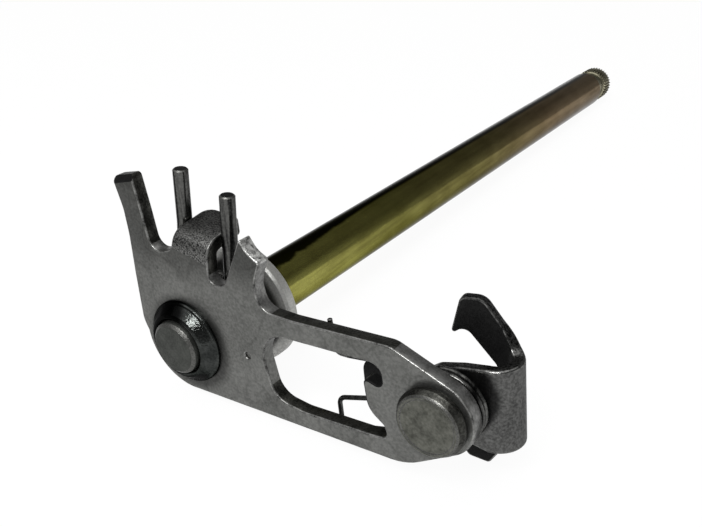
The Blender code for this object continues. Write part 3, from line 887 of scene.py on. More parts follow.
@dataclass
class Finishes:
    """All finishes of the shift shaft, built once.

    Attributes:
        materials: The built materials by name.
    """

    materials: dict[str, bpy.types.Material] = field(default_factory=dict)

    def build(self) -> None:
        """Build the effect groups and every finish."""
        effects = Effects(tumbled_group(), streak_group(), painted_shade_group())
        recipes = (
            # painted shade: a dark ring on the arm's face round the boss, where its contact
            # shadow falls; the face is also darker towards the top
            PaintedShadeFinish("arm_face", (0.174, 0.175, 0.167), (0.092, 0.093, 0.088), 0.36, 0.85,
                         grain=0.55, cloud=0.40, pits=0.9, grain_scale=2000.0,
                         bump=0.000012, axis=(0.6, 0.0, -0.4), height=(27.0, 37.0), top=0.52),
            Finish("arm_wall", (0.092, 0.092, 0.083), (0.008, 0.008, 0.007), 0.36, 0.90,
                   grain=0.45, cloud=0.45, cloud_scale=420.0, streak=0.2,
                   stretch=(1.0, 0.25, 1.0), bump=0.00003),
            Finish("arm_roll", (0.300, 0.300, 0.290), (0.050, 0.050, 0.048), 0.36, 0.95,
                   grain=0.45, cloud=0.65, cloud_scale=420.0, bump=0.000008),
            # near black: the finger's bevel, painted dark for the dark room it reflects, the
            # painted shade on the window's edge behind the thin spring, and the springs' cut ends
            Finish("black_bevel_and_shade", (0.012, 0.012, 0.012), (0.005, 0.005, 0.005), 0.34, 0.30,
                   grain=0.35, cloud=0.45, cloud_scale=420.0, gloss=0.1, edge=0.2),
            # the ear's sheared edge: fine scratches, and a painted highlight in its bright colour
            Finish("ear_scratches_and_highlight", (0.720, 0.720, 0.700), (0.030, 0.030, 0.029), 0.30, 0.60,
                   grain=0.35, cloud=0.80, cloud_scale=1150.0, grain_scale=3000.0,
                   bump=0.00004),
            # painted shade: the bent tab is darker towards its top
            PaintedShadeFinish("tab_grain", (0.230, 0.230, 0.222), (0.012, 0.012, 0.012), 0.38, 0.90,
                         grain=1.0, cloud=0.25, grain_scale=3900.0, bump=0.00004,
                         axis=(0.0, 0.0, -90.0), height=(33.0, 38.0), top=0.90),
            Finish("worn_rim", (0.150, 0.150, 0.142), (0.055, 0.055, 0.052), 0.36, 0.85,
                   grain=0.60, cloud=0.40, grain_scale=3600.0, bump=0.00002),
            # painted shadow: the wing's face is dark round the rivet, where the arm's end and the
            # thin spring cast their shadow
            PaintedShadeFinish("pawl_face", (0.150, 0.150, 0.146), (0.050, 0.050, 0.049), 0.42, 0.85,
                         grain=0.60, cloud=0.30, grain_scale=2300.0, streak=0.25,
                         stretch=(1.0, 1.0, 0.15), bump=0.00004, axis=(53.6, 5.7, -9.1),
                         near=6.0, far=7.4, depth=0.16),
            Finish("pawl_inner", (0.014, 0.014, 0.014), (0.004, 0.004, 0.004), 0.46, 0.20,
                   grain=0.40, cloud=0.45, grain_scale=2300.0, bump=0.00002, gloss=0.12,
                   edge=0.3),
            Finish("pawl_wall", (0.110, 0.110, 0.107), (0.005, 0.005, 0.005), 0.30, 0.90,
                   grain=0.95, cloud=0.40, cloud_scale=500.0, grain_scale=2600.0,
                   bump=0.00004),
            Finish("pawl_roll", (0.220, 0.220, 0.214), (0.012, 0.012, 0.012), 0.26, 0.95,
                   grain=0.50, cloud=0.55, cloud_scale=500.0, bump=0.00001),
            Finish("rivet_steel", (0.138, 0.139, 0.121), (0.050, 0.051, 0.043), 0.40, 0.85,
                   grain=0.45, cloud=0.60, cloud_scale=620.0, grain_scale=1800.0,
                   bump=0.00002),
            # painted reflection: the bell is darker on its upper left, where it reflects the dark
            # room
            PaintedShadeFinish("boss_steel", (0.062, 0.066, 0.063), (0.020, 0.022, 0.021), 0.11, 0.95,
                         grain=0.35, cloud=0.75, cloud_scale=420.0, bump=0.00003, coat=0.04,
                         axis=(-4.2, 0.0, 6.4), near=6.6, far=8.8, depth=0.10, edge=0.15),
            Finish("stub_steel", (0.072, 0.075, 0.069), (0.034, 0.036, 0.033), 0.38, 0.85,
                   grain=0.40, cloud=0.50, cloud_scale=420.0, bump=0.00001),
            Finish("spring_wire", (0.150, 0.150, 0.143), (0.014, 0.014, 0.014), 0.20, 0.95,
                   grain=0.30, cloud=0.20, streak=0.75, stretch=(1.0, 1.0, 0.05),
                   bump=0.000008),
            # painted shade: the collar is darker inside its outer ring, where the return spring
            # shades it
            PaintedShadeFinish("collar_steel", (0.520, 0.520, 0.500), (0.230, 0.230, 0.220), 0.42, 0.60,
                         grain=0.40, cloud=0.50, bump=0.00001, near=9.4, far=11.2, depth=0.16),
            # painted reflection: a dark band along the rod's upper far side, wider near the arm
            ZincFinish("yellow_zinc", (0.95, 0.95, 0.95), (0.45, 0.43, 0.40), 0.16, 0.95,
                       grain=0.25, cloud=0.40, cloud_scale=120.0, streak=0.40,
                       stretch=(1.0, 0.06, 1.0), bump=0.000006, edge=0.42, gloss=0.05,
                       bands=((0.0, (0.50, 0.49, 0.130)), (0.14, (0.36, 0.35, 0.095)),
                              (0.30, (0.25, 0.24, 0.070)),
                              (0.55, (0.25, 0.215, 0.095)), (0.75, (0.31, 0.235, 0.145)),
                              (1.0, (0.34, 0.270, 0.190)))),
            Finish("spline_steel", (0.340, 0.320, 0.230), (0.080, 0.075, 0.050), 0.24, 0.90,
                   grain=0.40, cloud=0.50, cloud_scale=420.0, bump=0.00001),
            # painted light: the walls of the notches' bottoms and the plate's end are lighter,
            # where they catch the light
            Finish("notch_painted_light", (0.290, 0.290, 0.282), (0.090, 0.090, 0.087), 0.34, 0.85,
                   grain=0.40, cloud=0.60, cloud_scale=520.0, bump=0.00001),
        )
        self.materials = {recipe.name: recipe.build(effects) for recipe in recipes}

    def dress(self, piece: bpy.types.Object, *names: str) -> None:
        """Give a new piece its materials.

        Args:
            piece: The piece, whose mesh has no material yet.
            names: The finishes' names in the order of its faces' indices.
        """
        for name in names:
            piece.data.materials.append(self.materials[name])


# ---------------------------------------------------------------- sub-assemblies


@dataclass
class Assembly:
    """A sub-assembly of the shift shaft.

    Attributes:
        finishes: The finishes that dress it.
    """

    finishes: Finishes

    def seat(self, piece: bpy.types.Object, node: str, slot: str, body: str = BODY) -> None:
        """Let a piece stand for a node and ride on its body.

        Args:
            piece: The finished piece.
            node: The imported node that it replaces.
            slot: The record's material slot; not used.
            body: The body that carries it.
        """
        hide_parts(node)
        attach(piece, body)
        LOG.info("%s stands for %s with %d faces", piece.name, node, len(piece.data.polygons))

    def trim(self, piece: bpy.types.Object, slot: str, body: str = BODY) -> None:
        """Add a piece that stands for no node of its own.

        Args:
            piece: The finished piece.
            slot: The record's material slot; not used.
            body: The body that carries it.
        """
        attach(piece, body)
        LOG.info("%s added with %d faces", piece.name, len(piece.data.polygons))


@dataclass
class Rod(Assembly):
    """The shaft, its flared boss and the collar behind the return spring, in millimetres.

    Attributes:
        radius: The rod's radius.
        length: From the arm's front to the splined end.
        stub_length: How far the stub stands out ahead of the arm.
        stub_radius: The stub's radius.
        neck_radius: Radius of the neck before the spline.
        neck_length: The neck's length.
        spline_radius: Radius over the teeth.
        spline_length: The splined end's length.
        teeth: How many teeth there are.
        tooth_height: A tooth's height.
        tooth_bevel: Bevel of the teeth's ends.
        boss_radius: Radius of the boss's lip.
        boss_height: How far the boss stands out.
        collar_radius: The collar's radius.
        collar_start: Y of the collar's front.
        collar_thickness: The collar's thickness.
        gap: Room between the rod and the collar.
        press_gap: Room between the stub and the boss.
    """

    radius: float = 6.0
    length: float = 220.0
    stub_length: float = 3.7
    stub_radius: float = 5.4
    neck_radius: float = 4.9
    neck_length: float = 4.2
    spline_radius: float = 5.8
    spline_length: float = 6.6
    teeth: int = 36
    tooth_height: float = 0.45
    tooth_bevel: float = 0.26
    boss_radius: float = 8.3
    boss_height: float = 2.7
    collar_radius: float = 12.28
    collar_start: float = 15.19
    collar_thickness: float = 3.2
    gap: float = 0.3
    press_gap: float = 0.12

    def build(self) -> None:
        """Build the rod, the boss and the collar."""
        self.shaft()
        self.boss()
        self.collar()

    def shaft(self) -> None:
        """Turn the rod, add its stub and its spline, and plate it."""
        spline = self.length - self.spline_length
        neck = spline - self.neck_length
        shoulder = self.radius - self.neck_radius
        root = self.spline_radius - self.tooth_height
        bm = turned(filleted((
            (0.0, 3.5, 0.0), (self.radius, 3.5, 0.0), (self.radius, neck - shoulder, 0.3),
            (self.neck_radius, neck, 0.5), (self.neck_radius, spline, 0.2),
            (root, spline + 0.4, 0.1), (root, self.length - 0.4, 0.1),
            (root - 0.5, self.length, 0.1), (0.0, self.length, 0.0))))
        mark_ring(bm, 0.1, self.radius - 0.35, self.length + 1.0)
        piece = finished(bm, "plated_rod")
        self.finishes.dress(piece, "yellow_zinc", "spline_steel")
        self.seat(piece, "shift_shaft", "yellow_zinc")
        face, rim = -self.stub_length, self.stub_radius
        stub = turned(filleted((
            (0.0, face, 0.0), (rim - 0.85, face, 0.08), (rim - 0.25, face + 0.55, 0.12),
            (rim, -2.0, 0.5), (rim + 0.1, 0.0, 0.1), (self.radius, 3.4, 0.1), (0.0, 3.4, 0.0))))
        mark_ring(stub, rim - 0.83, rim - 0.27, face + 0.55)
        piece = finished(stub, "rod_stub")
        self.finishes.dress(piece, "stub_steel", "worn_rim")
        self.trim(piece, "pawl_steel")
        piece = finished(self.splines(spline + 0.4, self.length - 0.5, root), "spline_teeth")
        self.finishes.dress(piece, "spline_steel")
        self.trim(piece, "yellow_zinc")

    def splines(self, start: float, stop: float, root: float) -> bmesh.types.BMesh:
        """Return the ring of fine teeth.

        Args:
            start: Y where the teeth start.
            stop: Y where they end.
            root: Radius at their feet.

        Returns:
            The toothed ring, with bevelled ends.
        """
        bm = bmesh.new()
        rim = bmesh.ops.create_circle(bm, cap_ends=True, radius=self.spline_radius,
                                      segments=self.teeth * 4)["verts"]
        ordered = sorted(rim, key=lambda vert: math.atan2(vert.co.y, vert.co.x))
        for index, vert in enumerate(ordered):
            if index % 4 in (0, 3):
                vert.co *= (root - 0.1) / self.spline_radius
        extruded(bm, list(bm.faces), (0.0, 0.0, stop - start))
        bmesh.ops.rotate(bm, cent=(0.0, 0.0, 0.0), matrix=Matrix.Rotation(-math.pi / 2.0, 3, "X"),
                         verts=bm.verts)
        bmesh.ops.translate(bm, vec=(0.0, start, 0.0), verts=bm.verts)
        bmesh.ops.recalc_face_normals(bm, faces=bm.faces)
        ends = [edge for edge in bm.edges
                if abs(edge.verts[0].co.y - edge.verts[1].co.y) < MERGE]
        bmesh.ops.bevel(bm, geom=ends, offset=self.tooth_bevel, segments=3, profile=0.5,
                        affect="EDGES", material=-1)
        smooth(bm)
        return bm

    def boss(self) -> None:
        """Turn the flared boss: a bell that spreads to a thin lip on the arm."""
        bore = self.stub_radius + self.press_gap
        front, lip = -self.boss_height, self.boss_radius
        profile = filleted((
            (bore, -0.02, 0.0), (bore, front + 0.2, 0.15), (bore + 0.35, front, 0.2),
            (bore + 0.95, front + 0.3, 0.4), (lip - 0.45, -0.85, 0.5), (lip - 0.15, -0.70, 0.15),
            (lip, -0.45, 0.15), (lip + 0.05, -0.02, 0.0)), 9.0)
        piece = finished(turned(profile), "flared_boss")
        self.finishes.dress(piece, "boss_steel")
        self.seat(piece, "front_boss", "pawl_steel")

    def collar(self) -> None:
        """Turn the collar with its chamfered rim."""
        bore = self.radius + self.gap
        front, rim = self.collar_start, self.collar_radius
        back = front + self.collar_thickness
        profile = filleted((
            (bore, front, 0.2), (rim - 1.9, front, 0.3), (rim - 0.45, front + 0.35, 0.3),
            (rim, front + 0.9, 0.3), (rim, back - 0.4, 0.25), (rim - 0.5, back, 0.2),
            (bore, back, 0.2)))
        piece = finished(turned(profile), "turned_collar")
        self.finishes.dress(piece, "collar_steel")
        self.seat(piece, "spring_collar", "collar_steel")


@dataclass
class StampedArm(Assembly):
    """The arm: finger, notches, ear, window and the tab that is bent back.

    Lengths are in millimetres and angles in degrees. Outlines are corners (x, z, rounding)
    and regions are (low x, high x, low z, high z), both as shares of the reach.

    Attributes:
        thickness: Sheet thickness.
        reach: From the shaft to the rivet.
        rivet_angle: Where the rivet lies about the shaft.
        heel_radius: Radius of the heel round the shaft.
        heel_arc: The heel's first and last angle.
        end_radius: Radius of the end round the rivet.
        end_arc: That end's first and last angle.
        tab_angle: How far the tab leans towards the rivet.
        tab_left: The tab's left edge.
        tab_right: Its right edge.
        tab_root: How far from the shaft its bend starts.
        tab_reach: How far behind the front face it reaches.
        tab_rise: How far its bend is short of a right angle.
        tab_foot: How far below the bend its left edge starts, and the rounding there.
        tab_corner: Rounding of its far corners.
        bend_radius: Inner radius of its bend.
        bend_steps: Strips of the bend.
        roll: Radius of the rolled front edge.
        rivet_bore: Radius of the rivet's hole.
        shaft_bore: Radius of the shaft's hole.
        bore_points: Corners of those holes.
        dimple: Place of the small punched mark.
        dimple_radius: Its radius.
        dimple_depth: How far behind the rolled edge its floor lies.
        dimple_points: Its corners.
        finger_lean: How steep the finger's bevel is.
        finger_cut: How far below the finger's top the bevel starts.
        longest_edge: Longest edge of an outline.
        ear: Region of the ear's sheared edge, which is scratched and painted bright as a painted
            highlight.
        painted_light_walls: Regions of the notches' bottoms and the plate's end, whose walls are
            painted lighter as painted light.
        window_side: Region of the window's dark side.
        spring_shade_edge: Region of the window's edge behind the thin spring, which is painted
            dark as painted shade.
        finger: Corners of the finger.
        notches: Corners of the notches and the ear.
        keel: Corner of the plate's lower edge.
        window: Corners of the window.
    """

    thickness: float = 2.6
    reach: float = 53.0
    rivet_angle: float = -11.6
    heel_radius: float = 10.5
    heel_arc: tuple[float, float] = (-98.0, -190.0)
    end_radius: float = 6.8
    end_arc: tuple[float, float] = (54.0, -76.0)
    tab_angle: float = 18.0
    tab_left: float = -1.85
    tab_right: float = 6.55
    tab_root: float = 19.1
    tab_reach: float = 9.9
    tab_rise: float = 7.5
    tab_foot: tuple[float, float] = (0.4, 1.6)
    tab_corner: float = 2.2
    bend_radius: float = 0.8
    bend_steps: int = 10
    roll: float = 0.30
    rivet_bore: float = 3.7
    shaft_bore: float = 6.3
    bore_points: int = 72
    dimple: tuple[float, float] = (14.95, -2.23)
    dimple_radius: float = 0.62
    dimple_depth: float = 0.12
    dimple_points: int = 20
    finger_lean: float = 60.0
    finger_cut: float = 1.35
    longest_edge: float = 2.0
    ear: Region = (0.396, 0.462, 0.284, 1.0)
    painted_light_walls: tuple[Region, ...] = (
        (0.385, 0.480, 0.115, 0.284), (0.180, 0.295, 0.200, 0.250),
        (-0.030, 0.080, 0.320, 0.365), (0.890, 1.200, -0.300, 0.100))
    window_side: Region = (0.34, 0.40, -0.15, 0.06)
    spring_shade_edge: Region = (0.735, 0.83, -0.20, -0.05)
    finger: tuple[Corner, ...] = (
        (-0.203, 0.080, 0.10), (-0.159, 0.265, 0.30), (-0.122, 0.405, 0.25),
        (-0.106, 0.500, 0.15), (-0.1093, 0.616, 0.018), (-0.008, 0.613, 0.014),
        (-0.016, 0.490, 0.25), (-0.030, 0.335, 0.065))
    notches: tuple[Corner, ...] = (
        (0.203, 0.216, 0.040), (0.274, 0.214, 0.036), (0.392, 0.362, 0.010),
        (0.404, 0.370, 0.010), (0.422, 0.320, 0.10), (0.458, 0.290, 0.010),
        (0.406, 0.214, 0.09), (0.404, 0.128, 0.068), (0.520, 0.096, 0.15),
        (0.880, 0.026, 0.075))
    keel: tuple[Corner, ...] = ((0.830, -0.384, 0.20),)
    window: tuple[Corner, ...] = (
        (0.356, 0.054, 0.098), (0.826, -0.038, 0.040), (0.816, -0.120, 0.018),
        (0.750, -0.082, 0.016), (0.738, -0.196, 0.090), (0.784, -0.250, 0.014),
        (0.786, -0.298, 0.028), (0.720, -0.289, 0.20), (0.460, -0.238, 0.14),
        (0.352, -0.196, 0.100))

    @property
    def rivet(self) -> Vector:
        """Return the rivet's place in the XZ plane."""
        return polar(self.reach, self.rivet_angle)

    def across(self, u: float, w: float) -> Vector:
        """Return the XZ point that lies u across the tab and w out from the shaft."""
        angle = math.radians(self.tab_angle)
        return Vector((u * math.cos(angle) + w * math.sin(angle),
                       w * math.cos(angle) - u * math.sin(angle)))

    def shares(self, rows: Sequence[Corner]) -> list[Corner]:
        """Return corners that are given as shares of the reach."""
        return [(x * self.reach, z * self.reach, r * self.reach) for x, z, r in rows]

    def build(self) -> None:
        """Stamp the blank, bend its tab and dress it."""
        fold = self.tab_fold()
        run = (self.tab_reach - fold.radius + fold.radius * math.cos(fold.turn))
        top = self.tab_root + fold.length + run / math.sin(fold.turn)
        foot, blend = self.tab_foot
        corners = arc_corners((0.0, 0.0), self.heel_radius, *self.heel_arc)
        corners += self.shares(self.finger)
        for u, w, radius in ((self.tab_left, self.tab_root - foot, blend),
                             (self.tab_left, top, self.tab_corner),
                             (self.tab_right, top, self.tab_corner)):
            corners.append((*self.across(u, w), radius))
        corners += self.shares(self.notches)
        corners += arc_corners(self.rivet, self.end_radius, *self.end_arc)
        corners += self.shares(self.keel)
        outlines = [resampled(rounded(row), self.longest_edge)
                    for row in (corners, self.shares(self.window))]
        bm = stamped([*outlines, circle(self.shaft_bore, self.bore_points),
                      circle(self.rivet_bore, self.bore_points, self.rivet),
                      circle(self.dimple_radius, self.dimple_points, self.dimple)],
                     self.thickness, self.roll)
        self.bevel_finger(bm)
        self.bend_tab(bm, fold)
        self.close_dimple(bm)
        self.mark_edges(bm)
        piece = finished(bm, "stamped_arm")
        self.finishes.dress(piece, "arm_face", "arm_wall", "arm_roll", "arm_face", "tab_grain",
                            "black_bevel_and_shade", "ear_scratches_and_highlight", "notch_painted_light")
        self.seat(piece, "shift_arm", "stamped_steel")

    def mark_edges(self, bm: bmesh.types.BMesh) -> None:
        """Mark the ear's edge with its painted highlight, the notches' walls with painted light,
        the window's dark sides and its painted shade behind the thin spring.

        Args:
            bm: The finished shape, whose walls and rolled edges are marked.
        """
        wall, roll = Surface.WALL.value, Surface.ROLL.value
        for face in bm.faces:
            if face.material_index not in (wall, roll):
                continue
            center = face.calc_center_median() / self.reach
            sheared = face.material_index == wall
            # the ear's edge gets its painted highlight
            if inside(center, self.ear):
                face.material_index = Surface.EAR.value
            # painted light on the walls of the notches' bottoms and the plate's end
            elif sheared and any(inside(center, region) for region in self.painted_light_walls):
                face.material_index = Surface.LIT_WALL.value
            elif sheared and inside(center, self.window_side):
                face.material_index = Surface.BACK.value
            # painted shade on the window's edge behind the thin spring
            elif inside(center, self.spring_shade_edge):
                face.material_index = Surface.BEVEL.value

    def close_dimple(self, bm: bmesh.types.BMesh) -> None:
        """Close the small punched mark behind, so that it is a shallow pit.

        Args:
            bm: The stamped blank.
        """
        x, z = self.dimple
        radius = self.dimple_radius + 0.3
        floor, back = self.roll + self.dimple_depth, self.thickness - 0.03
        grown = bmesh.ops.create_cone(
            bm, cap_ends=True, segments=self.dimple_points, radius1=radius, radius2=radius,
            depth=back - floor, matrix=(Matrix.Translation((x, (floor + back) / 2.0, z))
                                        @ Matrix.Rotation(math.pi / 2.0, 4, "X")))
        for face in {face for vert in grown["verts"] for face in vert.link_faces}:
            face.material_index = Surface.BACK.value

    def bevel_finger(self, bm: bmesh.types.BMesh) -> None:
        """Cut the bevel off the front of the finger's end.

        Args:
            bm: The stamped blank.
        """
        top = max(row[1] for row in self.finger) * self.reach
        lean = math.radians(self.finger_lean)
        cut = bmesh.ops.bisect_plane(
            bm, geom=[*bm.verts, *bm.edges, *bm.faces], dist=CUT,
            plane_co=(0.0, 0.0, top - self.finger_cut),
            plane_no=(0.0, -math.sin(lean), math.cos(lean)), clear_outer=True)
        edges = picked(cut["geom_cut"], bmesh.types.BMEdge)
        for face in bmesh.ops.edgeloop_fill(bm, edges=edges)["faces"]:
            face.material_index = Surface.BEVEL.value

    def tab_fold(self) -> Fold:
        """Return the tab's bend."""
        angle = math.radians(self.tab_angle)
        turn = math.radians(90.0 - self.tab_rise)
        return Fold(Vector((math.sin(angle), 0.0, math.cos(angle))), self.tab_root,
                    (self.bend_radius + self.thickness / 2.0) * turn,
                    self.bend_radius + self.thickness, turn, self.bend_steps)

    def bend_tab(self, bm: bmesh.types.BMesh, fold: Fold) -> None:
        """Bend the tab back about a line across its root.

        Args:
            bm: The flat blank.
            fold: The bend.
        """
        fold.cut(bm)
        angle = math.radians(self.tab_angle)
        side = Vector((math.cos(angle), 0.0, -math.sin(angle)))
        moved = set()
        for vert in bm.verts:
            u, w = vert.co.dot(side), vert.co.dot(fold.way)
            if w > fold.start and self.tab_left - 0.5 < u < self.tab_right + 0.5:
                along, depth = fold.placed(w, vert.co.y)
                place = side * u + fold.way * along
                place.y = depth
                vert.co = place
                moved.add(vert)
        for face in bm.faces:
            if any(vert in moved for vert in face.verts):
                face.smooth = True
                if face.material_index == Surface.FACE.value:
                    face.material_index = Surface.BENT.value


@dataclass
class ReturnSpring(Assembly):
    """The heavy torsion spring whose legs grip the tab, in millimetres.

    Attributes:
        wire: Radius of the wire.
        radius: Radius of the coil, to the wire's middle.
        turns: Turns of the coil.
        pitch: From one turn to the next.
        start: Y of the first turn.
        left_top: How far from the shaft the left leg ends.
        right_top: How far from the shaft the right leg ends.
        setback: How far behind the right leg the left one stands.
        gap: Room between a leg and the tab.
        steps: Edges of one turn.
        chamfer: Chamfer at the wire's ends.
    """

    wire: float = 1.42
    radius: float = 8.6
    turns: float = 2.5
    pitch: float = 3.66
    start: float = 4.32
    left_top: float = 31.9
    right_top: float = 30.3
    setback: float = 1.15
    gap: float = 0.3
    steps: int = 48
    chamfer: float = 0.25

    def build(self, arm: StampedArm) -> None:
        """Wind the coil, raise both legs and chamfer their ends.

        Args:
            arm: The arm whose tab the legs grip.
        """
        def placed(u: float, y: float, w: float) -> Vector:
            """Return a point given across the tab, along the shaft and out from it."""
            point = arm.across(u, w)
            return Vector((point.x, y, point.y))

        end = self.start + self.turns * self.pitch
        left = arm.tab_left - self.gap - self.wire
        right = arm.tab_right + self.gap + self.wire
        left_y = self.start + self.setback
        root = arm.tab_root
        coil = []
        for step in range(round(self.turns * self.steps) + 1):
            angle = -2.0 * math.pi * step / self.steps
            coil.append(placed(self.radius * math.cos(angle),
                               self.start + self.pitch * step / self.steps,
                               self.radius * math.sin(angle)))
        sweep = catmull([placed(-self.radius, end, self.radius * 0.25),
                         placed(-self.radius, end, self.radius * 0.60),
                         placed((left - self.radius) / 2.0, (end + left_y) / 2.0,
                                (self.radius + root) / 2.0),
                         placed(left, left_y, root),
                         placed(left, left_y, root + arm.thickness)], self.wire / 2.0)
        inner = catmull([placed(right, self.start, self.radius * 1.7),
                         placed(right, self.start, self.radius),
                         placed(self.radius, self.start, self.radius * 0.35), coil[0], coil[1]],
                        self.wire / 2.0)
        route = [placed(right, self.start, self.right_top), *inner[:-1], *coil[1:], *sweep,
                 placed(left, left_y, self.left_top)]
        piece = swept("return_spring_wire", route, self.wire, self.chamfer, 6)
        self.finishes.dress(piece, "spring_wire", "worn_rim", "black_bevel_and_shade")
        self.seat(piece, "return_spring", "spring_steel")


@dataclass
class PawlPivot(Assembly):
    """The rivet with its broad head and the thin torsion spring round it.

    Lengths are in millimetres. The legs' corners (x, z, rounding) are shares of the reach.

    Attributes:
        head_radius: Radius of the broad head.
        head_height: Its height.
        shank: Radius of the shank.
        tail_radius: Radius of the tail head.
        tail_height: Its height.
        wire: Radius of the thin spring's wire.
        coil_radius: Radius of its coil, to the wire's middle.
        turns: Its turns.
        pitch: From one turn to the next.
        coil_start: Y of its first turn.
        pawl_front: Y of the pawl's front face.
        pawl_back: Y of that wing's back.
        gap: Room between the rivet and what it holds.
        steps: Edges of one turn.
        upper_leg: Corners of the leg at the window's top.
        lower_leg: Corners of the leg at its bottom.
    """

    head_radius: float = 6.0
    head_height: float = 2.4
    shank: float = 3.4
    tail_radius: float = 4.7
    tail_height: float = 1.2
    wire: float = 0.45
    coil_radius: float = 6.35
    turns: float = 1.5
    pitch: float = 1.06
    coil_start: float = 3.35
    pawl_front: float = 5.69
    pawl_back: float = 7.69
    gap: float = 0.3
    steps: int = 48
    upper_leg: tuple[Corner, ...] = (
        (0.664, -0.048, 0.030), (0.616, -0.038, 0.032), (0.628, 0.078, 0.0))
    lower_leg: tuple[Corner, ...] = (
        (0.576, -0.332, 0.030), (0.534, -0.322, 0.030), (0.550, -0.226, 0.030),
        (0.690, -0.216, 0.0))

    def build(self, arm: StampedArm) -> None:
        """Turn the rivet and wind the thin spring.

        Args:
            arm: The arm that carries both.
        """
        self.rivet(arm)
        self.spring(arm)

    def rivet(self, arm: StampedArm) -> None:
        """Turn the rivet: a dished face, a rim, an undercut and the tail head.

        Args:
            arm: The arm that carries it.
        """
        seat, front = -self.gap, -self.gap - self.head_height
        head, shank, tail = self.head_radius, self.shank, self.tail_radius
        shoulder = self.coil_radius - self.wire - self.gap
        back, stop = arm.thickness + self.gap, self.pawl_front - self.gap
        heel = self.pawl_back + self.gap
        end = heel + self.tail_height
        profile = filleted((
            (0.0, front + 0.14, 0.0), (head - 1.35, front + 0.14, 0.1),
            (head - 1.15, front + 0.02, 0.1), (head - 0.85, front, 0.12),
            (head - 0.50, front + 0.30, 0.25), (head - 0.16, front + 0.95, 0.2),
            (head, front + 1.2, 0.15), (head, seat - 0.55, 0.12),
            (head - 0.32, seat - 0.38, 0.05), (head - 0.32, seat, 0.0), (shank, seat, 0.0),
            (shank, back, 0.0), (shoulder, back, 0.0), (shoulder, stop, 0.0),
            (shank, stop, 0.0), (shank, heel, 0.0), (tail, heel, 0.1), (tail, heel + 0.6, 0.2),
            (tail - 0.6, end, 0.3), (0.0, end, 0.0)))
        place = Matrix.Translation((arm.rivet.x, 0.0, arm.rivet.y))
        bm = turned(profile)
        mark_ring(bm, head - 1.36, head - 1.10, front + 0.2)
        mark_ring(bm, head - 0.86, head - 0.52, front + 0.3, 2)
        mark_ring(bm, head - 0.45, head + 1.0, 0.0, 3)
        piece = finished(bm, "pawl_rivet_turned", place)
        self.finishes.dress(piece, "rivet_steel", "worn_rim", "worn_rim", "arm_wall")
        self.seat(piece, "pawl_rivet", "stamped_steel")

    def spring(self, arm: StampedArm) -> None:
        """Wind the thin spring, with its legs at the window.

        Args:
            arm: The arm that carries it.
        """
        end = self.coil_start + self.turns * self.pitch
        coil = []
        for step in range(round(self.turns * self.steps) + 1):
            spoke = polar(self.coil_radius, 90.0 - 360.0 * step / self.steps, arm.rivet)
            depth = self.coil_start + self.pitch * step / self.steps
            coil.append(Vector((spoke.x, depth, spoke.y)))
        legs = []
        for start, rows, y in ((coil[0], self.upper_leg, self.coil_start),
                               (coil[-1], self.lower_leg, end)):
            corners = [(start.x, start.z, 0.0), *arm.shares(rows)]
            legs.append([Vector((point.x, y, point.y))
                         for point in rounded(corners, 12.0, closed=False)])
        route = [*reversed(legs[0][1:]), *coil, *legs[1][1:]]
        piece = swept("pawl_spring_wire", route, self.wire, 0.1, 4)
        self.finishes.dress(piece, "spring_wire", "arm_roll", "black_bevel_and_shade")
        self.seat(piece, "pawl_spring", "spring_steel")


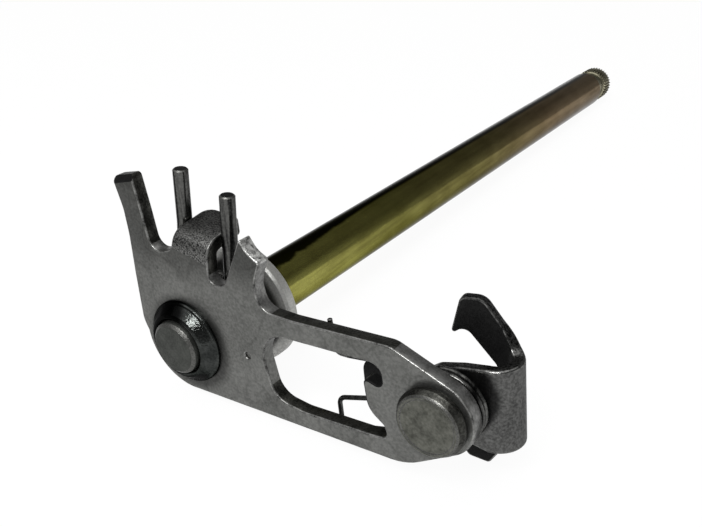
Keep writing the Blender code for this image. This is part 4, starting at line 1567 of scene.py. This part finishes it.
@dataclass
class FoldedPawl(Assembly):
    """The strap folded into a U, with a tail on one wing and a forked claw on the other.

    Lengths are in millimetres and angles in degrees. The blank's X runs from the rivet along
    the strap. Corners (x, z, rounding) are shares of the tail's length or the claw's span.

    Attributes:
        thickness: The strap's thickness.
        fold_radius: Inner radius of the fold.
        fold_place: Where the fold starts.
        front: Y of the first wing's front face.
        angle: Turn of the whole pawl about the rivet.
        overbend: How far the fold turns beyond a half turn.
        blend: Rounding at the fold's upper and lower edges.
        wing_top: How far the strap reaches above the rivet.
        wing_bottom: How far it reaches below it.
        tail_length: The tail's length beyond the rivet.
        claw_span: Half of the claw's height.
        bore: Radius of the rivet's hole.
        bore_points: Corners of that hole.
        roll: Radius of the rolled front edge.
        burr: Rounding at the back.
        fold_steps: Strips of the fold.
        neck_top: How far before the fold's end the upper neck lies.
        neck_bottom: The same for the lower neck.
        shaded_tail: X on the blank from which the tail is painted dark behind the arm, as painted
            shade.
        longest_edge: Longest edge of the blank's outline.
        tail: Corners of the tail.
        claw: Corners of the upper beak.
        lower_claw: Corners of the lower beak.
    """

    thickness: float = 2.0
    fold_radius: float = 2.4
    fold_place: float = 5.9
    front: float = 5.69
    angle: float = -10.0
    overbend: float = 8.0
    blend: float = 2.6
    wing_top: float = 6.9
    wing_bottom: float = 8.3
    tail_length: float = 17.1
    claw_span: float = 15.2
    bore: float = 3.7
    bore_points: int = 60
    roll: float = 0.42
    burr: float = 0.3
    fold_steps: int = 24
    neck_top: float = 3.1
    neck_bottom: float = 2.6
    shaded_tail: float = -6.0
    longest_edge: float = 1.6
    tail: tuple[Corner, ...] = (
        (0.06, -0.420, 0.30), (-0.36, -0.395, 0.22), (-1.0, -0.30, 0.13), (-1.0, 0.23, 0.16),
        (-0.32, 0.21, 0.20), (-0.15, 0.320, 0.12), (0.10, 0.375, 0.30))
    claw: tuple[Corner, ...] = (
        (0.205, 1.020, 0.17), (-0.045, 1.015, 0.085), (-0.178, 0.545, 0.03),
        (-0.005, 0.670, 0.11), (0.345, 0.230, 0.20))
    lower_claw: tuple[Corner, ...] = (
        (0.345, -0.239, 0.20), (-0.005, -0.690, 0.11), (-0.178, -0.545, 0.03),
        (-0.045, -0.975, 0.085), (0.205, -1.029, 0.05))

    @property
    def fold(self) -> Fold:
        """Return the strap's fold, which turns further than a half turn by the overbend."""
        turn = math.pi + math.radians(self.overbend)
        return Fold(Vector((1.0, 0.0, 0.0)), self.fold_place,
                    (self.fold_radius + self.thickness / 2.0) * turn,
                    self.fold_radius + self.thickness, turn, self.fold_steps)

    def unfolded(self, x: float) -> float:
        """Return how far along the blank a point of the claw at x lies."""
        lean = math.cos(math.radians(self.overbend))
        return self.fold_place + self.fold.length + (self.fold_place - x) / lean

    def blank(self) -> list[Vector]:
        """Return the outline of the flat blank, along the strap and up."""
        claw = [(self.unfolded(x * self.claw_span), z * self.claw_span, r * self.claw_span)
                for x, z, r in (*self.claw, *self.lower_claw)]
        tail = [(x * self.tail_length, z * self.tail_length, r * self.tail_length)
                for x, z, r in self.tail]
        neck = self.fold_place + self.fold.length
        corners = [*tail, (self.fold_place, self.wing_top, self.blend),
                   (neck - self.neck_top, self.wing_top, self.blend), *claw,
                   (neck - self.neck_bottom, -self.wing_bottom, self.blend),
                   (self.fold_place, -self.wing_bottom, self.blend)]
        return resampled(rounded(corners), self.longest_edge)

    def build(self, arm: StampedArm) -> None:
        """Stamp the blank, fold it and dress it.

        Args:
            arm: The arm that carries the pawl.
        """
        bm = stamped([self.blank(), circle(self.bore, self.bore_points)], self.thickness,
                     self.roll, self.burr)
        # painted shade: the tail behind the arm takes the near-black back finish
        for face in bm.faces:
            if face.calc_center_median().x < self.shaded_tail:
                face.material_index = Surface.BACK.value
        fold = self.fold
        fold.cut(bm)
        for vert in bm.verts:
            if vert.co.x > fold.start:
                vert.co.x, vert.co.y = fold.placed(vert.co.x, vert.co.y)
        smooth(bm)
        place = (Matrix.Translation((arm.rivet.x, self.front, arm.rivet.y))
                 @ Matrix.Rotation(math.radians(-self.angle), 4, "Y"))
        piece = finished(bm, "folded_pawl", place)
        self.finishes.dress(piece, "pawl_face", "pawl_wall", "pawl_roll", "pawl_inner")
        self.seat(piece, "shift_pawl", "pawl_steel", PAWL_BODY)


# ---------------------------------------------------------------- studio


@dataclass(frozen=True)
class Lamp:
    """A soft rectangular lamp.

    Attributes:
        name: Its name.
        direction: From the object to the lamp.
        distance: How far off it stands, in metres.
        size: Width and height in metres.
        power: In watts.
    """

    name: str
    direction: tuple[float, float, float]
    distance: float
    size: tuple[float, float]
    power: float


@dataclass
class Studio:
    """Camera, white table, soft lamps and surroundings.

    Attributes:
        eye: The camera's place in the shaft's frame, in millimetres.
        right: The camera's right in the shaft's frame.
        upward: The camera's up in the shaft's frame.
        width: The picture's width in pixels.
        height: Its height.
        focal: The camera's focal length in pixels.
        center: The pixel that its axis meets.
        whiteness: How far the table shows plain white, without the object's shadow.
        table_size: The table's size in metres.
        table_color: Its colour where it shows shadow and light.
        aim: The place that the lamps face, in metres.
        floor_light: The room's light from below.
        wall_light: The room's light from the sides.
        ceiling_light: The room's light from above.
        wall_rise: Heights of a direction between which the floor's light becomes the walls'.
        ceiling_rise: Heights between which the walls' light becomes the ceiling's.
        lamps: The lamps.
    """

    eye: tuple[float, float, float] = (119.86, -91.43, 51.92)
    right: tuple[float, float, float] = (0.79436, 0.55904, -0.23763)
    upward: tuple[float, float, float] = (0.0, 0.39119, 0.92031)
    width: int = 702
    height: int = 527
    focal: float = 830.06
    center: tuple[float, float] = (356.53, 276.65)
    whiteness: float = 0.95
    table_size: float = 4.0
    table_color: Color = (0.95, 0.95, 0.95)
    aim: tuple[float, float, float] = (0.0, -0.08, 0.015)
    floor_light: Color = (0.42, 0.42, 0.42)
    wall_light: Color = (0.110, 0.110, 0.110)
    ceiling_light: Color = (1.40, 1.40, 1.39)
    wall_rise: tuple[float, float] = (0.0, 0.45)
    ceiling_rise: tuple[float, float] = (0.70, 0.94)
    lamps: tuple[Lamp, ...] = (
        Lamp("key_lamp", (0.136, -0.620, 0.772), 0.75, (0.30, 0.24), 5.0),
        Lamp("edge_lamp", (-0.88, 0.15, 0.42), 0.85, (0.12, 0.40), 0.20),
        Lamp("left_lamp", (-0.466, -0.463, 0.748), 1.10, (0.90, 0.60), 1.6),
    )

    def build(self) -> None:
        """Build the camera, the table, the lamps and the surroundings."""
        self.camera()
        self.table()
        for lamp in self.lamps:
            self.light(lamp)
        self.surroundings()
        bpy.context.scene.view_settings.view_transform = "Standard"

    def camera(self) -> None:
        """Stand the camera where the photograph was taken."""
        data = bpy.data.cameras.new("photo_camera")
        data.sensor_width = 36.0
        data.lens = self.focal / self.width * data.sensor_width
        data.shift_x = (self.width / 2.0 - self.center[0]) / self.width
        data.shift_y = (self.center[1] - self.height / 2.0) / self.width
        data.clip_start = 0.01
        rest = REST.matrix()
        turn = rest.to_3x3().normalized()
        right = (turn @ Vector(self.right)).normalized()
        upward = (turn @ Vector(self.upward)).normalized()
        back = right.cross(upward).normalized()
        upward = back.cross(right)
        pose = Matrix((right, upward, back)).transposed().to_4x4()
        pose.translation = rest @ Vector(self.eye)
        camera = linked("photo_camera", data)
        camera.matrix_world = pose
        bpy.context.scene.camera = camera

    def table(self) -> None:
        """Lay the white table, which keeps the object's soft shadow."""
        bm = bmesh.new()
        bmesh.ops.create_grid(bm, x_segments=1, y_segments=1, size=self.table_size)
        mesh = bpy.data.meshes.new("white_table")
        bm.to_mesh(mesh)
        bm.free()
        material = bpy.data.materials.new("white_table")
        material.use_nodes = True
        tree = NodeTree(material.node_tree)
        shader = material.node_tree.nodes["Principled BSDF"]
        tree.feed_all(shader, {"Base Color": self.table_color, "Roughness": 0.9,
                               "Specular IOR Level": 0.1})
        white = tree.add("ShaderNodeEmission")
        blend = tree.add("ShaderNodeMixShader")
        rays = tree.add("ShaderNodeLightPath").outputs
        seen = tree.math("MAXIMUM", rays["Is Camera Ray"], rays["Is Glossy Ray"])
        seen = tree.math("MAXIMUM", seen, rays["Is Transmission Ray"])
        for socket, value in zip(blend.inputs, (tree.math("MULTIPLY", seen, self.whiteness),
                                                shader.outputs[0], white.outputs[0])):
            tree.feed(socket, value)
        sink = material.node_tree.nodes["Material Output"]
        tree.feed(sink.inputs["Surface"], blend.outputs[0])
        mesh.materials.append(material)
        linked("white_table", mesh)

    def light(self, lamp: Lamp) -> None:
        """Hang a soft lamp that faces the middle of the object.

        Args:
            lamp: The lamp.
        """
        data = bpy.data.lights.new(lamp.name, "AREA")
        data.shape = "RECTANGLE"
        data.size, data.size_y = lamp.size
        data.energy = lamp.power
        way = Vector(lamp.direction).normalized()
        light = linked(lamp.name, data)
        light.location = Vector(self.aim) + way * lamp.distance
        light.rotation_euler = way.to_track_quat("Z", "Y").to_euler()

    def surroundings(self) -> None:
        """Surround the table with a dim room under a broad white ceiling."""
        world = bpy.data.worlds.new("studio_room")
        bpy.context.scene.world = world
        world.use_nodes = True
        tree = NodeTree(world.node_tree)
        height = tree.part(tree.add("ShaderNodeTexCoord").outputs["Generated"], "Z")
        room = tree.mix(tree.spread(height, *self.wall_rise), self.floor_light, self.wall_light)
        room = tree.mix(tree.spread(height, *self.ceiling_rise), room, self.ceiling_light)
        rays = tree.add("ShaderNodeLightPath")
        seen = tree.mix(rays.outputs["Is Camera Ray"], room, (1.0, 1.0, 1.0))
        tree.feed(world.node_tree.nodes["Background"].inputs["Color"], seen)


def main() -> None:
    """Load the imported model, build every piece and set up the studio."""
    logging.basicConfig(level=logging.INFO, format="%(name)s: %(message)s")
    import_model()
    Studio().build()
    finishes = Finishes()
    finishes.build()
    arm = StampedArm(finishes)
    steps: tuple[tuple[str, Callable[[], None]], ...] = (
        ("arm", arm.build), ("rod", Rod(finishes).build),
        ("return spring", lambda: ReturnSpring(finishes).build(arm)),
        ("pivot", lambda: PawlPivot(finishes).build(arm)),
        ("pawl", lambda: FoldedPawl(finishes).build(arm)))
    for label, build in steps:
        build()
        LOG.info("%s done", label)


if __name__ == "__main__":
    main()
